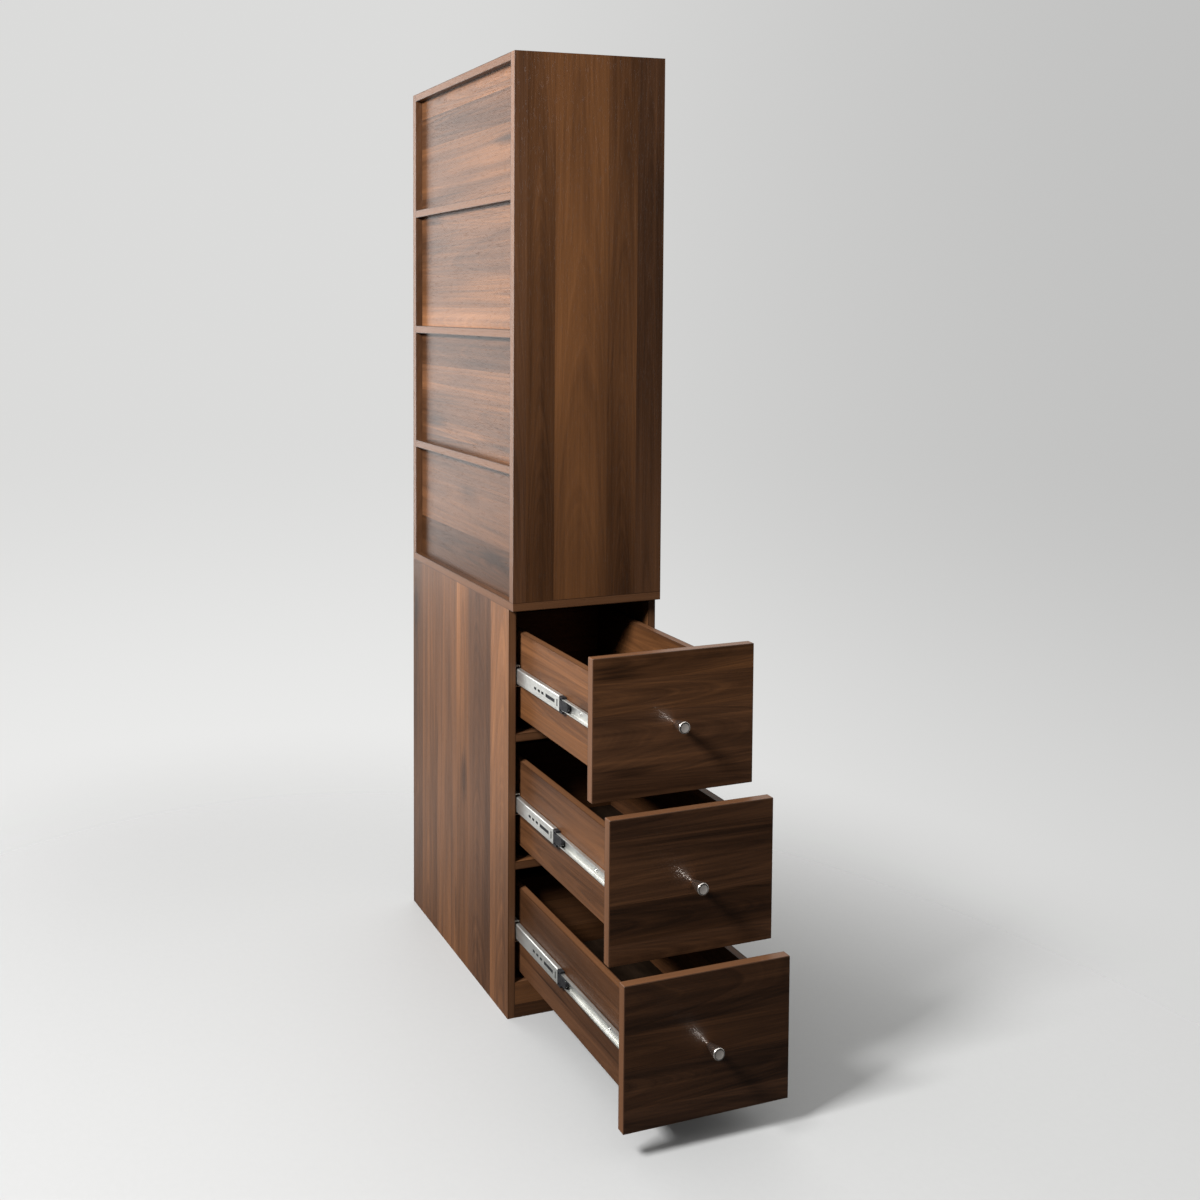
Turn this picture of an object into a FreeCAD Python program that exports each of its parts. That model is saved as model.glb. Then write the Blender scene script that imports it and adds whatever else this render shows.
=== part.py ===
"""Tall display shelving unit: a four-tier shelf tower standing on a base with three drawers.

Millimetres, +Z up, +Y to the rear. The drawers open towards -Y and the shelves are open on +X.
The origin is on the floor, under the middle of the unit as it stands with its drawers drawn out.
"""

import FreeCAD
import Part
import Sketcher
import os
from types import SimpleNamespace

SIZES = {
    # The whole unit and its boards
    "width": 310,
    "depth": 465,
    "height": 1800,
    "board": 15,
    "base_height": 780,
    "deck_thickness": 16,
    "plinth_height": 68,
    "rail_depth": 80,
    "rail_lift": 1,
    "back_recess": 15,
    "back_thickness": 15,
    # Drawer fronts and boxes
    "front_thickness": 15,
    "front_gap": 5,
    "front_top_gap": 8,
    "front_side_gap": 2,
    "front_easing": 0.8,
    "plinth_overlap": 21.5,
    "closing_gap": 1,
    "side_margin": 39.25,
    "box_back_gap": 20,
    "bottom_thickness": 5,
    "bottom_lift": 10,
    "groove_depth": 6,
    "groove_gap": 0.2,
    # How far each drawer and its pair of middle rails stand drawn out
    "drawer_1_travel": 267,
    "drawer_2_travel": 319,
    "drawer_3_travel": 363,
    "drawer_1_middle_travel": 182,
    "drawer_2_middle_travel": 164,
    "drawer_3_middle_travel": 181,
    # Three-part ball slides
    "slide_space": 12.5,
    "slide_gauge": 1.2,
    "slide_bend": 2.4,
    "running_gap": 0.3,
    "outer_rail_height": 40,
    "outer_rail_inset": 3,
    "outer_flange_gap": 2.5,
    "outer_ball_gap": 4.3,
    "inner_ball_gap": 2.8,
    "rail_end_gap": 15,
    "middle_shortfall": 40,
    "middle_rail_home": 31,
    "middle_flange_gap": 1.4,
    "drawer_rail_inset": 2,
    "outer_cage_room": 1.4,
    "inner_cage_room": 1.2,
    "cage_length": 100,
    "outer_cage_home": 150,
    "inner_cage_home": 115,
    "slot_width": 5,
    "slot_length": 30,
    "slot_start": 16,
    "slit_width": 2.2,
    "slit_length": 12,
    "slit_start": 6,
    "dash_width": 4,
    "dash_length": 7,
    "dash_start": 54,
    "dash_pitch": 13,
    # Black end bumpers of the middle rails
    "bumper_plate": 3,
    "tongue_length": 28,
    "tongue_gap": 1.3,
    "tongue_screw_gap": 1.3,
    "ear_length": 10,
    "ear_gap": 0.5,
    # Knobs
    "knob_length": 28,
    "knob_base": 7.5,
    "knob_disc": 21,
    "knob_rim": 2.1,
    "knob_bevel": 1.4,
    "knob_bore_depth": 14,
    "knob_bore_spare": 3,
    # Fasteners
    "knob_screw": 4,
    "knob_screw_head": 8,
    "knob_screw_head_height": 2.6,
    "slide_screw": 3.5,
    "slide_screw_cover": 4,
    "slide_screw_head": 7,
    "slide_screw_head_height": 2,
    "slide_screw_start": 60,
    "slide_screw_pitch": 224,
    "fit_gap": 0.1,
    "cam_diameter": 15,
    "cam_cover": 2.5,
    "cam_inset": 34,
    "cam_spread": 186,
    "bolt_diameter": 6,
    "bolt_cover": 4,
    "dowel_diameter": 8,
    "dowel_cover": 5,
    "dowel_reach": 20,
}
DRAWERS = ("drawer_1", "drawer_2", "drawer_3")
RAILS = ("upper_drawer_rail", "lower_drawer_rail")
SHELVES = ("lower_shelf", "middle_shelf", "upper_shelf", "top_board")
TIERS = ("lower_back_panel", "lower_middle_back_panel", "upper_middle_back_panel", "upper_back_panel")
DOWEL_SHARES = (0.25, 0.75)
LIP_SHARE = 0.37
SAME_SPOT_SHARE = 0.05
DASH_COUNT = 3
PEG_SIDES = 6
CAM_SIDES = 12
TAPER_TURNS = 6
QUARTER_TURN = 90


class Size:
    """A length as a formula on the sheet, with its present value for first positions."""

    def __init__(self, text, value):
        self.text = text
        self.value = value

    def __add__(self, other):
        other = as_size(other)
        return Size(f"({self.text} + {other.text})", self.value + other.value)

    def __sub__(self, other):
        other = as_size(other)
        return Size(f"({self.text} - {other.text})", self.value - other.value)

    def __mul__(self, factor):
        return Size(f"{self.text} * {factor}", self.value * factor)

    def __truediv__(self, divisor):
        return Size(f"{self.text} / {divisor}", self.value / divisor)

    def __neg__(self):
        return as_size(0) - self

    __radd__ = __add__
    __rmul__ = __mul__


def as_size(length):
    """A Size from a Size, or from the bare number 0."""
    return length if isinstance(length, Size) else Size(str(length), length)


def largest(sizes):
    """The largest of several sizes."""
    return Size("max(" + "; ".join(z.text for z in sizes) + ")", max(z.value for z in sizes))


doc = FreeCAD.newDocument("ShelvingUnit")
sheet = doc.addObject("Spreadsheet::Sheet", "Sizes")
for row, (name, number) in enumerate(SIZES.items(), start=1):
    sheet.set(f"A{row}", name)
    sheet.set(f"B{row}", str(number))
    sheet.setAlias(f"B{row}", name)
doc.recompute()
s = SimpleNamespace(**{name: Size("Sizes." + name, number) for name, number in SIZES.items()})
nodes = []


# Small tools that make bound objects


def bind(item, **formulas):
    """Ties properties of an object to the sheet."""
    for name, size in formulas.items():
        item.setExpression(name, as_size(size).text)
    return item


def place(item, x=0, y=0, z=0):
    """Ties an object's position to the sheet."""
    for axis, size in (("x", x), ("y", y), ("z", z)):
        item.setExpression("Placement.Base." + axis, as_size(size).text)
    return item


def box(name, corner, sides):
    """A plain board or block, from its lowest corner and its three sides."""
    item = doc.addObject("Part::Box", name)
    bind(item, Length=sides[0], Width=sides[1], Height=sides[2])
    return place(item, *corner)


def turn_to(item, axis):
    """Turns a bar that was made along z to run along x, y or z."""
    turns = {
        "x": FreeCAD.Rotation(FreeCAD.Vector(0, 1, 0), QUARTER_TURN),
        "y": FreeCAD.Rotation(FreeCAD.Vector(1, 0, 0), -QUARTER_TURN),
        "z": FreeCAD.Rotation(),
    }
    item.Placement = FreeCAD.Placement(FreeCAD.Vector(), turns[axis])
    return item


def rod(name, axis, start, diameter, length):
    """A round bar along x, y or z, from the middle of its first end."""
    item = turn_to(doc.addObject("Part::Cylinder", name), axis)
    bind(item, Radius=diameter / 2, Height=length)
    return place(item, *start)


def peg(name, axis, start, diameter, length, sides=PEG_SIDES):
    """A many-sided bar along x, y or z, for hidden fasteners and their bores."""
    item = turn_to(doc.addObject("Part::Prism", name), axis)
    item.Polygon = sides
    bind(item, Circumradius=diameter / 2, Height=length)
    return place(item, *start)


def taper(name, near, near_width, far, far_width):
    """A many-sided tapered bar about the y axis: square wedges, turned in equal steps, and what they share."""
    wedges = []
    for step in range(TAPER_TURNS):
        item = doc.addObject("Part::Wedge", name + "_wedge")
        bind(item, Ymin=near, Xmin=-near_width / 2, Xmax=near_width / 2)
        bind(item, Zmin=-near_width / 2, Zmax=near_width / 2)
        bind(item, Ymax=far, X2min=-far_width / 2, X2max=far_width / 2)
        bind(item, Z2min=-far_width / 2, Z2max=far_width / 2)
        turn = FreeCAD.Rotation(FreeCAD.Vector(0, 1, 0), QUARTER_TURN * step / TAPER_TURNS)
        item.Placement = FreeCAD.Placement(FreeCAD.Vector(), turn)
        wedges.append(item)
    shared = doc.addObject("Part::MultiCommon", name)
    shared.Shapes = wedges
    return shared


def fuse(name, items):
    """One solid from several that meet."""
    item = doc.addObject("Part::MultiFuse", name)
    item.Shapes = items
    return item


def cut(name, base, tools):
    """A piece with bores, slots or grooves taken out of it."""
    item = doc.addObject("Part::Cut", name)
    item.Base = base
    item.Tool = tools[0] if len(tools) == 1 else fuse(name + "_tools", tools)
    return item


def group(name, items):
    """Several separate solids held together as one object."""
    item = doc.addObject("Part::Compound", name)
    item.Links = items
    return item


def mirrored(name, item):
    """The same piece on the other side of the middle plane x = 0."""
    twin = doc.addObject("Part::Mirroring", name)
    twin.Source = item
    twin.Normal = FreeCAD.Vector(1, 0, 0)
    return twin


def pair(name, item):
    """A left-hand piece together with its right-hand twin."""
    return group(name, [item, mirrored(name + "_right", item)])


def node(label, shapes, x=0, y=0, z=0):
    """A finished sub-part: its shapes, set at its own place under its own name."""
    item = group(label, shapes)
    item.Label = label
    nodes.append(item)
    return place(item, x, y, z)


def body_with_outline(name, plane, points):
    """A body with a sketch on one of its own planes, each corner tied to the sheet."""
    body = doc.addObject("PartDesign::Body", name)
    sketch = body.newObject("Sketcher::SketchObject", name + "_outline")
    planes = [item for item in body.Origin.OriginFeatures if item.Role == plane]
    sketch.AttachmentSupport = (planes[0], "")
    sketch.MapMode = "FlatFace"
    points = [(as_size(across), as_size(up)) for across, up in points]
    spots = [FreeCAD.Vector(across.value, up.value, 0) for across, up in points]
    for here, there in zip(spots, spots[1:] + spots[:1]):
        sketch.addGeometry(Part.LineSegment(here, there), False)
    for index in range(len(points)):
        following = (index + 1) % len(points)
        sketch.addConstraint(Sketcher.Constraint("Coincident", index, 2, following, 1))
    for index, (across, up) in enumerate(points):
        for kind, size, axis in (("DistanceX", across, -2), ("DistanceY", up, -1)):
            if size.text == "0":
                sketch.addConstraint(Sketcher.Constraint("PointOnObject", index, 1, axis))
                continue
            rule = Sketcher.Constraint(kind, -1, 1, index, 1, size.value)
            sketch.setExpression(f"Constraints[{sketch.addConstraint(rule)}]", size.text)
    return body, sketch


def edges_at(shape, spots, reach):
    """Names of the lengthwise (y) edges of a shape that pass through the given (x, z) spots."""
    found = []
    for index, edge in enumerate(shape.Edges, start=1):
        ends = [vertex.Point for vertex in edge.Vertexes]
        for x, z in spots:
            wanted = [FreeCAD.Vector(x.value, end.y, z.value) for end in ends]
            if len(ends) == 2 and all(a.isEqual(b, reach) for a, b in zip(ends, wanted)):
                found.append(f"Edge{index}")
    return found


def channel(name, web, inwards, height, flange, lip, length):
    """A rolled C-section from y = 0 backwards: a web at x = web, flanges and turned lips.

    inwards is 1 where the flanges point to +x and -1 where they point to -x.
    """
    gauge = s.slide_gauge
    top = height / 2

    def across(distance):
        return web + distance * inwards

    half = [
        (across(as_size(0)), top),
        (across(flange), top),
        (across(flange), top - lip),
        (across(flange - gauge), top - lip),
        (across(flange - gauge), top - gauge),
        (across(gauge), top - gauge),
    ]
    points = half + [(x, -z) for x, z in reversed(half)]
    body, sketch = body_with_outline(name, "XZ_Plane", points)
    pad = body.newObject("PartDesign::Pad", name + "_run")
    pad.Profile = sketch
    pad.Reversed = True
    bind(pad, Length=length)
    doc.recompute()
    reach = gauge.value * SAME_SPOT_SHARE
    bends = (
        ("outer", [(across(as_size(0)), top), (across(as_size(0)), -top)], s.slide_bend),
        ("inner", [(across(gauge), top - gauge), (across(gauge), gauge - top)], s.slide_bend - gauge),
    )
    base = pad
    for side, spots, radius in bends:
        bend = body.newObject("PartDesign::Fillet", f"{name}_{side}_bend")
        bend.Base = (base, edges_at(base.Shape, spots, reach))
        bind(bend, Radius=radius)
        doc.recompute()
        base = bend
    return body


# Places shared by several pieces

half_width = s.width / 2
inner_half = half_width - s.board
inner_width = s.width - s.board * 2
furthest = largest([getattr(s, name + "_travel") for name in DRAWERS])
front_y = (furthest + s.knob_length - s.depth) / 2
back_y = front_y + s.depth
carcass_y = front_y + s.front_thickness + s.closing_gap
carcass_depth = s.depth - s.front_thickness - s.closing_gap
deck_top = s.base_height + s.deck_thickness
tower_height = s.height - deck_top
shelf_y = front_y + s.board
shelf_length = s.depth - s.board * 2
tier = (tower_height - s.board * len(SHELVES)) / len(SHELVES)
tower_ends = (front_y, back_y - s.board)
lowest_front = s.plinth_height - s.plinth_overlap
fronts_height = s.base_height - s.front_top_gap - lowest_front
front_height = (fronts_height - s.front_gap * len(RAILS)) / len(DRAWERS)
front_pitch = front_height + s.front_gap
bottom_y = carcass_y + s.board
bottom_length = carcass_depth - s.board * 2


def drawer_middle(index):
    """Height of the middle of a drawer's front, which is also its slides' height."""
    return s.base_height - s.front_top_gap - front_height / 2 - front_pitch * index


def rail_underside(index):
    """Underside of the rail below a drawer, just over the top of the next front."""
    return drawer_middle(index) - front_height / 2 - s.front_gap + s.rail_lift


# Dowels: spots (y, z) at the ends of the boards between the side panels, then along the deck

dowel_grip = s.board - s.dowel_cover
dowel_length = dowel_grip + s.dowel_reach
bore = s.dowel_diameter + s.fit_gap * 2
spots_of = {
    label: [
        (carcass_y + s.rail_depth * share, rail_underside(index) + s.board / 2) for share in DOWEL_SHARES
    ]
    for index, label in enumerate(RAILS)
}
spots_of["plinth_board"] = [
    (carcass_y + s.board / 2, (s.plinth_height - s.board) * share) for share in DOWEL_SHARES
]
spots_of["base_bottom_board"] = [
    (bottom_y + bottom_length * share, s.plinth_height - s.board / 2) for share in DOWEL_SHARES
]
end_spots = [spot for spots in spots_of.values() for spot in spots]
deck_spots = [carcass_y + carcass_depth * share for share in DOWEL_SHARES]
foot_spots = [end + s.board / 2 for end in tower_ends]
panel_middle = -half_width + s.board / 2
foot_x = -s.cam_spread / 2
dowels = [
    peg("end_dowel", "x", (-inner_half - dowel_grip, y, z), s.dowel_diameter, dowel_length)
    for y, z in end_spots
]
dowels += [
    peg("deck_dowel", "z", (panel_middle, y, s.base_height - s.dowel_reach), s.dowel_diameter, dowel_length)
    for y in deck_spots
]
dowels += [
    peg("tower_dowel", "z", (foot_x, y, deck_top - dowel_grip), s.dowel_diameter, dowel_length)
    for y in foot_spots
]
node("base_dowels", [pair("dowel_pair", item) for item in dowels])

# Base: side panels, back, plinth, bottom, drawer rails and the deck

grip_bore = dowel_grip + s.fit_gap * 2
reach_bore = s.dowel_reach + s.fit_gap * 2
panel_bores = [
    peg("panel_bore", "x", (-inner_half - dowel_grip - s.fit_gap, y, z), bore, grip_bore)
    for y, z in end_spots
]
panel_bores += [
    peg("panel_top_bore", "z", (panel_middle, y, s.base_height - s.dowel_reach - s.fit_gap), bore, reach_bore)
    for y in deck_spots
]
panel = box("panel", (-half_width, carcass_y, 0), (s.board, carcass_depth, s.base_height))
left_panel = cut("bored_panel", panel, panel_bores)
node("base_left_panel", [left_panel])
node("base_right_panel", [mirrored("right_panel", left_panel)])
base_back = box("base_back", (-inner_half, back_y - s.board, 0), (inner_width, s.board, s.base_height))
node("base_back_panel", [base_back])


def board_between(label, y, z, depth, height):
    """A board between the side panels with dowel bores in both ends."""
    drills = [
        peg(label + "_bore", "x", (-inner_half - s.fit_gap, spot_y, spot_z), bore, reach_bore)
        for spot_y, spot_z in spots_of[label]
    ]
    drills += [mirrored(label + "_bore_right", item) for item in drills]
    blank = box(label + "_blank", (-inner_half, y, z), (inner_width, depth, height))
    node(label, [cut(label + "_bored", blank, drills)])


for index, label in enumerate(RAILS):
    board_between(label, carcass_y, rail_underside(index), s.rail_depth, s.board)
board_between("plinth_board", carcass_y, 0, s.board, s.plinth_height)
board_between("base_bottom_board", bottom_y, s.plinth_height - s.board, bottom_length, s.board)

deck_bores = [
    peg("deck_bore", "z", (panel_middle, y, s.base_height - s.fit_gap), bore, grip_bore)
    for y in deck_spots
]
deck_bores += [
    peg("deck_top_bore", "z", (foot_x, y, deck_top - dowel_grip - s.fit_gap), bore, grip_bore)
    for y in foot_spots
]
deck_bores += [mirrored("deck_bore_right", item) for item in deck_bores]
deck = box("deck", (-half_width, front_y, s.base_height), (s.width, s.depth, s.deck_thickness))
node("deck_board", [cut("bored_deck", deck, deck_bores)])

# Tower: one shelf board, drawn with its underside at z = 0 and shared by the shelves and the top

cam_depth = s.board - s.cam_cover
cam_bore = s.cam_diameter + s.fit_gap * 2
bolt_bore = s.bolt_diameter + s.fit_gap * 2
bolt_grip = s.board - s.bolt_cover
bolt_reach = s.cam_inset - s.cam_diameter / 2 - s.running_gap
bolt_length = bolt_grip + bolt_reach
cam_ys = (shelf_y + s.cam_inset, back_y - s.board - s.cam_inset)
bolt_ys = (shelf_y - bolt_grip, back_y - s.board - bolt_reach)
cams = [peg("cam", "z", (foot_x, y, 0), s.cam_diameter, cam_depth, CAM_SIDES) for y in cam_ys]
cam_drills = [
    peg("cam_bore", "z", (foot_x, y, -s.fit_gap), cam_bore, cam_depth + s.fit_gap * 2, CAM_SIDES)
    for y in cam_ys
]
bolts = [peg("bolt", "y", (foot_x, y, s.board / 2), s.bolt_diameter, bolt_length) for y in bolt_ys]
bolt_drills = [
    peg("bolt_bore", "y", (foot_x, y - s.fit_gap, s.board / 2), bolt_bore, bolt_length + s.fit_gap * 2)
    for y in bolt_ys
]
shelf_blank = box("shelf_blank", (-half_width, shelf_y, 0), (s.width, shelf_length, s.board))
shelf_drills = [pair("shelf_bores", item) for item in cam_drills + bolt_drills]
shelf = cut("shelf", shelf_blank, shelf_drills)
shelf_heights = [deck_top + tier + (tier + s.board) * index for index in range(len(SHELVES))]


def on_each_shelf(name, items):
    """Left-hand pieces of one shelf and their twins, repeated at every shelf and the top."""
    pairs = [pair(name + "_pair", item) for item in items]
    return [place(group(name + "_level", pairs), z=height) for height in shelf_heights]


for label, height in zip(SHELVES, shelf_heights):
    node(label, [shelf], z=height)
node("cam_locks", on_each_shelf("cams", cams))
node("cam_bolts", on_each_shelf("bolts", bolts))

for label, end_y, foot_y in zip(("tower_front_panel", "tower_rear_panel"), tower_ends, foot_spots):
    drills = on_each_shelf(label + "_bolt_bores", bolt_drills)
    foot = peg(label + "_foot_bore", "z", (foot_x, foot_y, deck_top - s.fit_gap), bore, reach_bore)
    drills.append(pair(label + "_foot_bores", foot))
    blank = box(label + "_blank", (-half_width, end_y, deck_top), (s.width, s.board, tower_height))
    node(label, [cut(label + "_bored", blank, drills)])

tier_back_corner = (-half_width + s.back_recess, shelf_y, 0)
tier_back = box("tier_back", tier_back_corner, (s.back_thickness, shelf_length, tier))
for index, label in enumerate(TIERS):
    node(label, [tier_back], z=deck_top + (tier + s.board) * index)

# Drawer, drawn with its front's outer face at y = 0 and the middle of its front at z = 0

side_height = front_height - s.side_margin * 2
box_length = s.depth - s.front_thickness - s.board - s.box_back_gap
box_width = inner_width - s.slide_space * 2
box_half = box_width / 2
box_floor = -side_height / 2 + s.bottom_lift
bottom_half = box_half - s.board + s.groove_depth
bottom_front = s.front_thickness - s.groove_depth
bottom_run = s.groove_depth * 2 + box_length - s.board
bottom_sides = (bottom_half * 2, bottom_run, s.bottom_thickness)
drawer_bottom = box("drawer_bottom", (-bottom_half, bottom_front, box_floor), bottom_sides)
groove = box(
    "bottom_groove",
    (-bottom_half - s.groove_gap, bottom_front - s.groove_gap, box_floor - s.groove_gap),
    [side + s.groove_gap * 2 for side in bottom_sides],
)

front_width = s.width - s.front_side_gap * 2
front_corner = (-front_width / 2, 0, -front_height / 2)
front_blank = box("front_blank", front_corner, (front_width, s.front_thickness, front_height))
doc.recompute()
eased = doc.addObject("Part::Chamfer", "front_eased")
eased.Base = front_blank
easing = s.front_easing.value
eased.Edges = [(index, easing, easing) for index in range(1, len(front_blank.Shape.Edges) + 1)]
knob_bore = s.knob_screw + s.fit_gap * 2
knob_hole = peg("knob_hole", "y", (0, -s.fit_gap, 0), knob_bore, s.front_thickness + s.fit_gap * 2)
front = cut("front", eased, [knob_hole, groove])

rail_length = box_length - s.rail_end_gap
rail_front = s.front_thickness + s.drawer_rail_inset
screw_starts = (s.slide_screw_start, s.slide_screw_start + s.slide_screw_pitch)
screw_bore = s.slide_screw + s.fit_gap * 2
screw_reach = s.board - s.slide_screw_cover
pilots = [
    peg("pilot", "x", (-box_half - s.fit_gap, rail_front + y, 0), screw_bore, screw_reach + s.fit_gap * 2)
    for y in screw_starts
]
side_corner = (-box_half, s.front_thickness, -side_height / 2)
side_blank = box("side_blank", side_corner, (s.board, box_length, side_height))
left_side = cut("left_side", side_blank, [groove] + pilots)
right_side = mirrored("right_side", left_side)
back_corner = (s.board - box_half, s.front_thickness + box_length - s.board, -side_height / 2)
back_blank = box("back_blank", back_corner, (box_width - s.board * 2, s.board, side_height))
drawer_back = cut("drawer_back", back_blank, [groove])

# Knob: a cone that widens from the front board to a straight rim and a bevelled flat face

rim_end = s.knob_bevel - s.knob_length
shoulder = rim_end + s.knob_rim
knob_parts = [
    taper("knob_cone", shoulder, s.knob_disc, 0, s.knob_base),
    taper("knob_rim", rim_end, s.knob_disc, shoulder, s.knob_disc),
    taper("knob_bevel", -s.knob_length, s.knob_disc - s.knob_bevel * 2, rim_end, s.knob_disc),
]
knob_thread = peg("knob_thread", "y", (0, -s.knob_bore_depth, 0), knob_bore, s.knob_bore_depth)
knob = cut("knob", fuse("knob_blank", knob_parts), [knob_thread])

# Screws of one drawer: the knob's, from inside the front, and the rails', into the drawer sides

knob_grip = s.front_thickness + s.knob_bore_depth - s.knob_bore_spare
knob_shank = peg("knob_shank", "y", (0, s.front_thickness - knob_grip, 0), s.knob_screw, knob_grip)
knob_seat = (0, s.front_thickness, 0)
knob_head = peg("knob_head", "y", knob_seat, s.knob_screw_head, s.knob_screw_head_height)
screws = [fuse("knob_screw", [knob_shank, knob_head])]
seat_x = -box_half - s.slide_gauge
for start in screw_starts:
    y = rail_front + start
    shank = peg("slide_shank", "x", (seat_x, y, 0), s.slide_screw, s.slide_gauge + screw_reach)
    head_start = (seat_x - s.slide_screw_head_height, y, 0)
    head = peg("slide_head", "x", head_start, s.slide_screw_head, s.slide_screw_head_height)
    screws.append(pair("slide_screws", fuse("slide_screw", [shank, head])))

# Ball slide of the left side, drawn with x = 0 at the side panel: three rails, one inside the other

gauge = s.slide_gauge
middle_web = gauge + s.outer_cage_room
drawer_edge = middle_web + gauge + s.inner_cage_room
outer_flange = s.slide_space - s.outer_flange_gap
middle_flange = s.slide_space - s.middle_flange_gap - middle_web
drawer_flange = s.slide_space - drawer_edge
middle_height = s.outer_rail_height - (gauge + s.outer_ball_gap) * 2
drawer_rail_height = middle_height - (gauge + s.inner_ball_gap) * 2
outer_lip = gauge + s.outer_ball_gap * LIP_SHARE
middle_lip = gauge + s.inner_ball_gap * LIP_SHARE
drawer_lip = gauge + s.tongue_gap - s.running_gap
middle_length = rail_length - s.middle_shortfall


def at_panel(name, item):
    """A left-hand slide part moved to the face of the side panel, with its right-hand twin."""
    return pair(name + "_pair", place(group(name + "_left", [item]), x=-inner_half))


outer_web = as_size(0)
outer_rail = channel(
    "outer_rail", outer_web, 1, s.outer_rail_height, outer_flange, outer_lip, rail_length
)
middle_rail = channel(
    "middle_rail", middle_web, 1, middle_height, middle_flange, middle_lip, middle_length
)
drawer_rail = channel(
    "drawer_rail", s.slide_space, -1, drawer_rail_height, drawer_flange, drawer_lip, rail_length
)

slot_middle = s.slot_start + s.slot_width / 2
slot_straight = s.slot_length - s.slot_width
slot_corner = (middle_web, slot_middle, -s.slot_width / 2)
long_slot = [
    box("slot_run", slot_corner, (gauge, slot_straight, s.slot_width)),
    rod("slot_front", "x", (middle_web, slot_middle, 0), s.slot_width, gauge),
    rod("slot_rear", "x", (middle_web, slot_middle + slot_straight, 0), s.slot_width, gauge),
]
slit_corner = (middle_web, s.slit_start, -s.slit_length / 2)
windows = [fuse("long_slot", long_slot), box("slit", slit_corner, (gauge, s.slit_width, s.slit_length))]
for index in range(DASH_COUNT):
    corner = (middle_web, s.dash_start + s.dash_pitch * index, -s.dash_width / 2)
    windows.append(box("dash", corner, (gauge, s.dash_length, s.dash_width)))
slotted = cut("slotted_rail", middle_rail, windows)
rail_holes = [peg("rail_hole", "x", (s.slide_space - gauge, y, 0), screw_bore, gauge) for y in screw_starts]
drilled = cut("drilled_rail", drawer_rail, rail_holes)
outer_rails = at_panel("outer_rails", outer_rail)
middle_rails = at_panel("middle_rails", slotted)
drawer_rails = at_panel("drawer_rails", drilled)


def ball_cages(name, web, room, rail_inside, ball_gap, flange_end):
    """A ball retainer: a thin sheet between two webs, with its two rows of balls as bars."""
    sheet_gauge = room - s.running_gap * 2
    ball = ball_gap - s.running_gap * 2
    line = (rail_inside + ball_gap) / 2
    ball_x = flange_end - gauge - s.running_gap - ball / 2
    start = web + s.running_gap
    height = line * 2 + sheet_gauge
    parts = [box(name + "_sheet", (start, 0, -height / 2), (sheet_gauge, s.cage_length, height))]
    for z in (line, -line):
        corner = (start, 0, z - sheet_gauge / 2)
        parts.append(box(name + "_wing", corner, (ball_x - start, s.cage_length, sheet_gauge)))
        parts.append(peg(name + "_balls", "y", (ball_x, 0, z), ball, s.cage_length))
    return at_panel(name, fuse(name, parts))


outer_cages = ball_cages(
    "outer_cage", gauge, s.outer_cage_room, middle_height, s.outer_ball_gap, outer_flange
)
middle_edge = middle_web + middle_flange
inner_cages = ball_cages(
    "inner_cage", middle_web + gauge, s.inner_cage_room, drawer_rail_height, s.inner_ball_gap, middle_edge
)

# Black bumper on the front end of a middle rail: a cross plate, two ears and a round-ended tongue

tongue_height = drawer_rail_height - (gauge + s.tongue_gap) * 2
screw_room = gauge + s.slide_screw_head_height + s.tongue_screw_gap
tongue_depth = s.slide_space - screw_room - middle_web
tongue_straight = s.tongue_length - tongue_height / 2
tongue_corner = (middle_web, -tongue_straight, -tongue_height / 2)
ear_top = middle_height / 2
ear_height = ear_top - drawer_rail_height / 2 - s.ear_gap
plate_depth = gauge + s.inner_cage_room - s.running_gap
plate_corner = (middle_web, -s.bumper_plate, -ear_top)
bumper_parts = [
    box("plate", plate_corner, (plate_depth, s.bumper_plate, middle_height)),
    box("tongue", tongue_corner, (tongue_depth, tongue_straight, tongue_height)),
    rod("tongue_tip", "x", (middle_web, -tongue_straight, 0), tongue_height, tongue_depth),
]
for z in (ear_top - ear_height, -ear_top):
    corner = (middle_web, -s.ear_length, z)
    bumper_parts.append(box("ear", corner, (middle_flange, s.ear_length, ear_height)))
bumpers = at_panel("bumpers", fuse("bumper", bumper_parts))

# The three drawers with their slides, each drawn out as far as its travel says

drawer_pieces = {
    "front": [front],
    "left_side": [left_side],
    "right_side": [right_side],
    "back": [drawer_back],
    "bottom": [drawer_bottom],
    "knob": [knob],
    "screws": screws,
}
outer_y = carcass_y + s.outer_rail_inset
for index, name in enumerate(DRAWERS):
    z = drawer_middle(index)
    drawn = getattr(s, name + "_travel")
    middle_drawn = getattr(s, name + "_middle_travel")
    drawer_y = front_y - drawn
    middle_y = carcass_y + s.middle_rail_home - middle_drawn
    outer_cage_y = outer_y + s.outer_cage_home - middle_drawn / 2
    inner_cage_y = carcass_y + s.middle_rail_home + s.inner_cage_home - (middle_drawn + drawn) / 2
    for piece, shapes in drawer_pieces.items():
        node(f"{name}_{piece}", shapes, 0, drawer_y, z)
    node(name + "_drawer_rails", [drawer_rails], 0, drawer_y + rail_front, z)
    node(name + "_middle_rails", [middle_rails], 0, middle_y, z)
    node(name + "_rail_bumpers", [bumpers], 0, middle_y, z)
    node(name + "_outer_rails", [outer_rails], 0, outer_y, z)
    node(name + "_outer_ball_cages", [outer_cages], 0, outer_cage_y, z)
    node(name + "_inner_ball_cages", [inner_cages], 0, inner_cage_y, z)

# Every object is checked before anything is written

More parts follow.
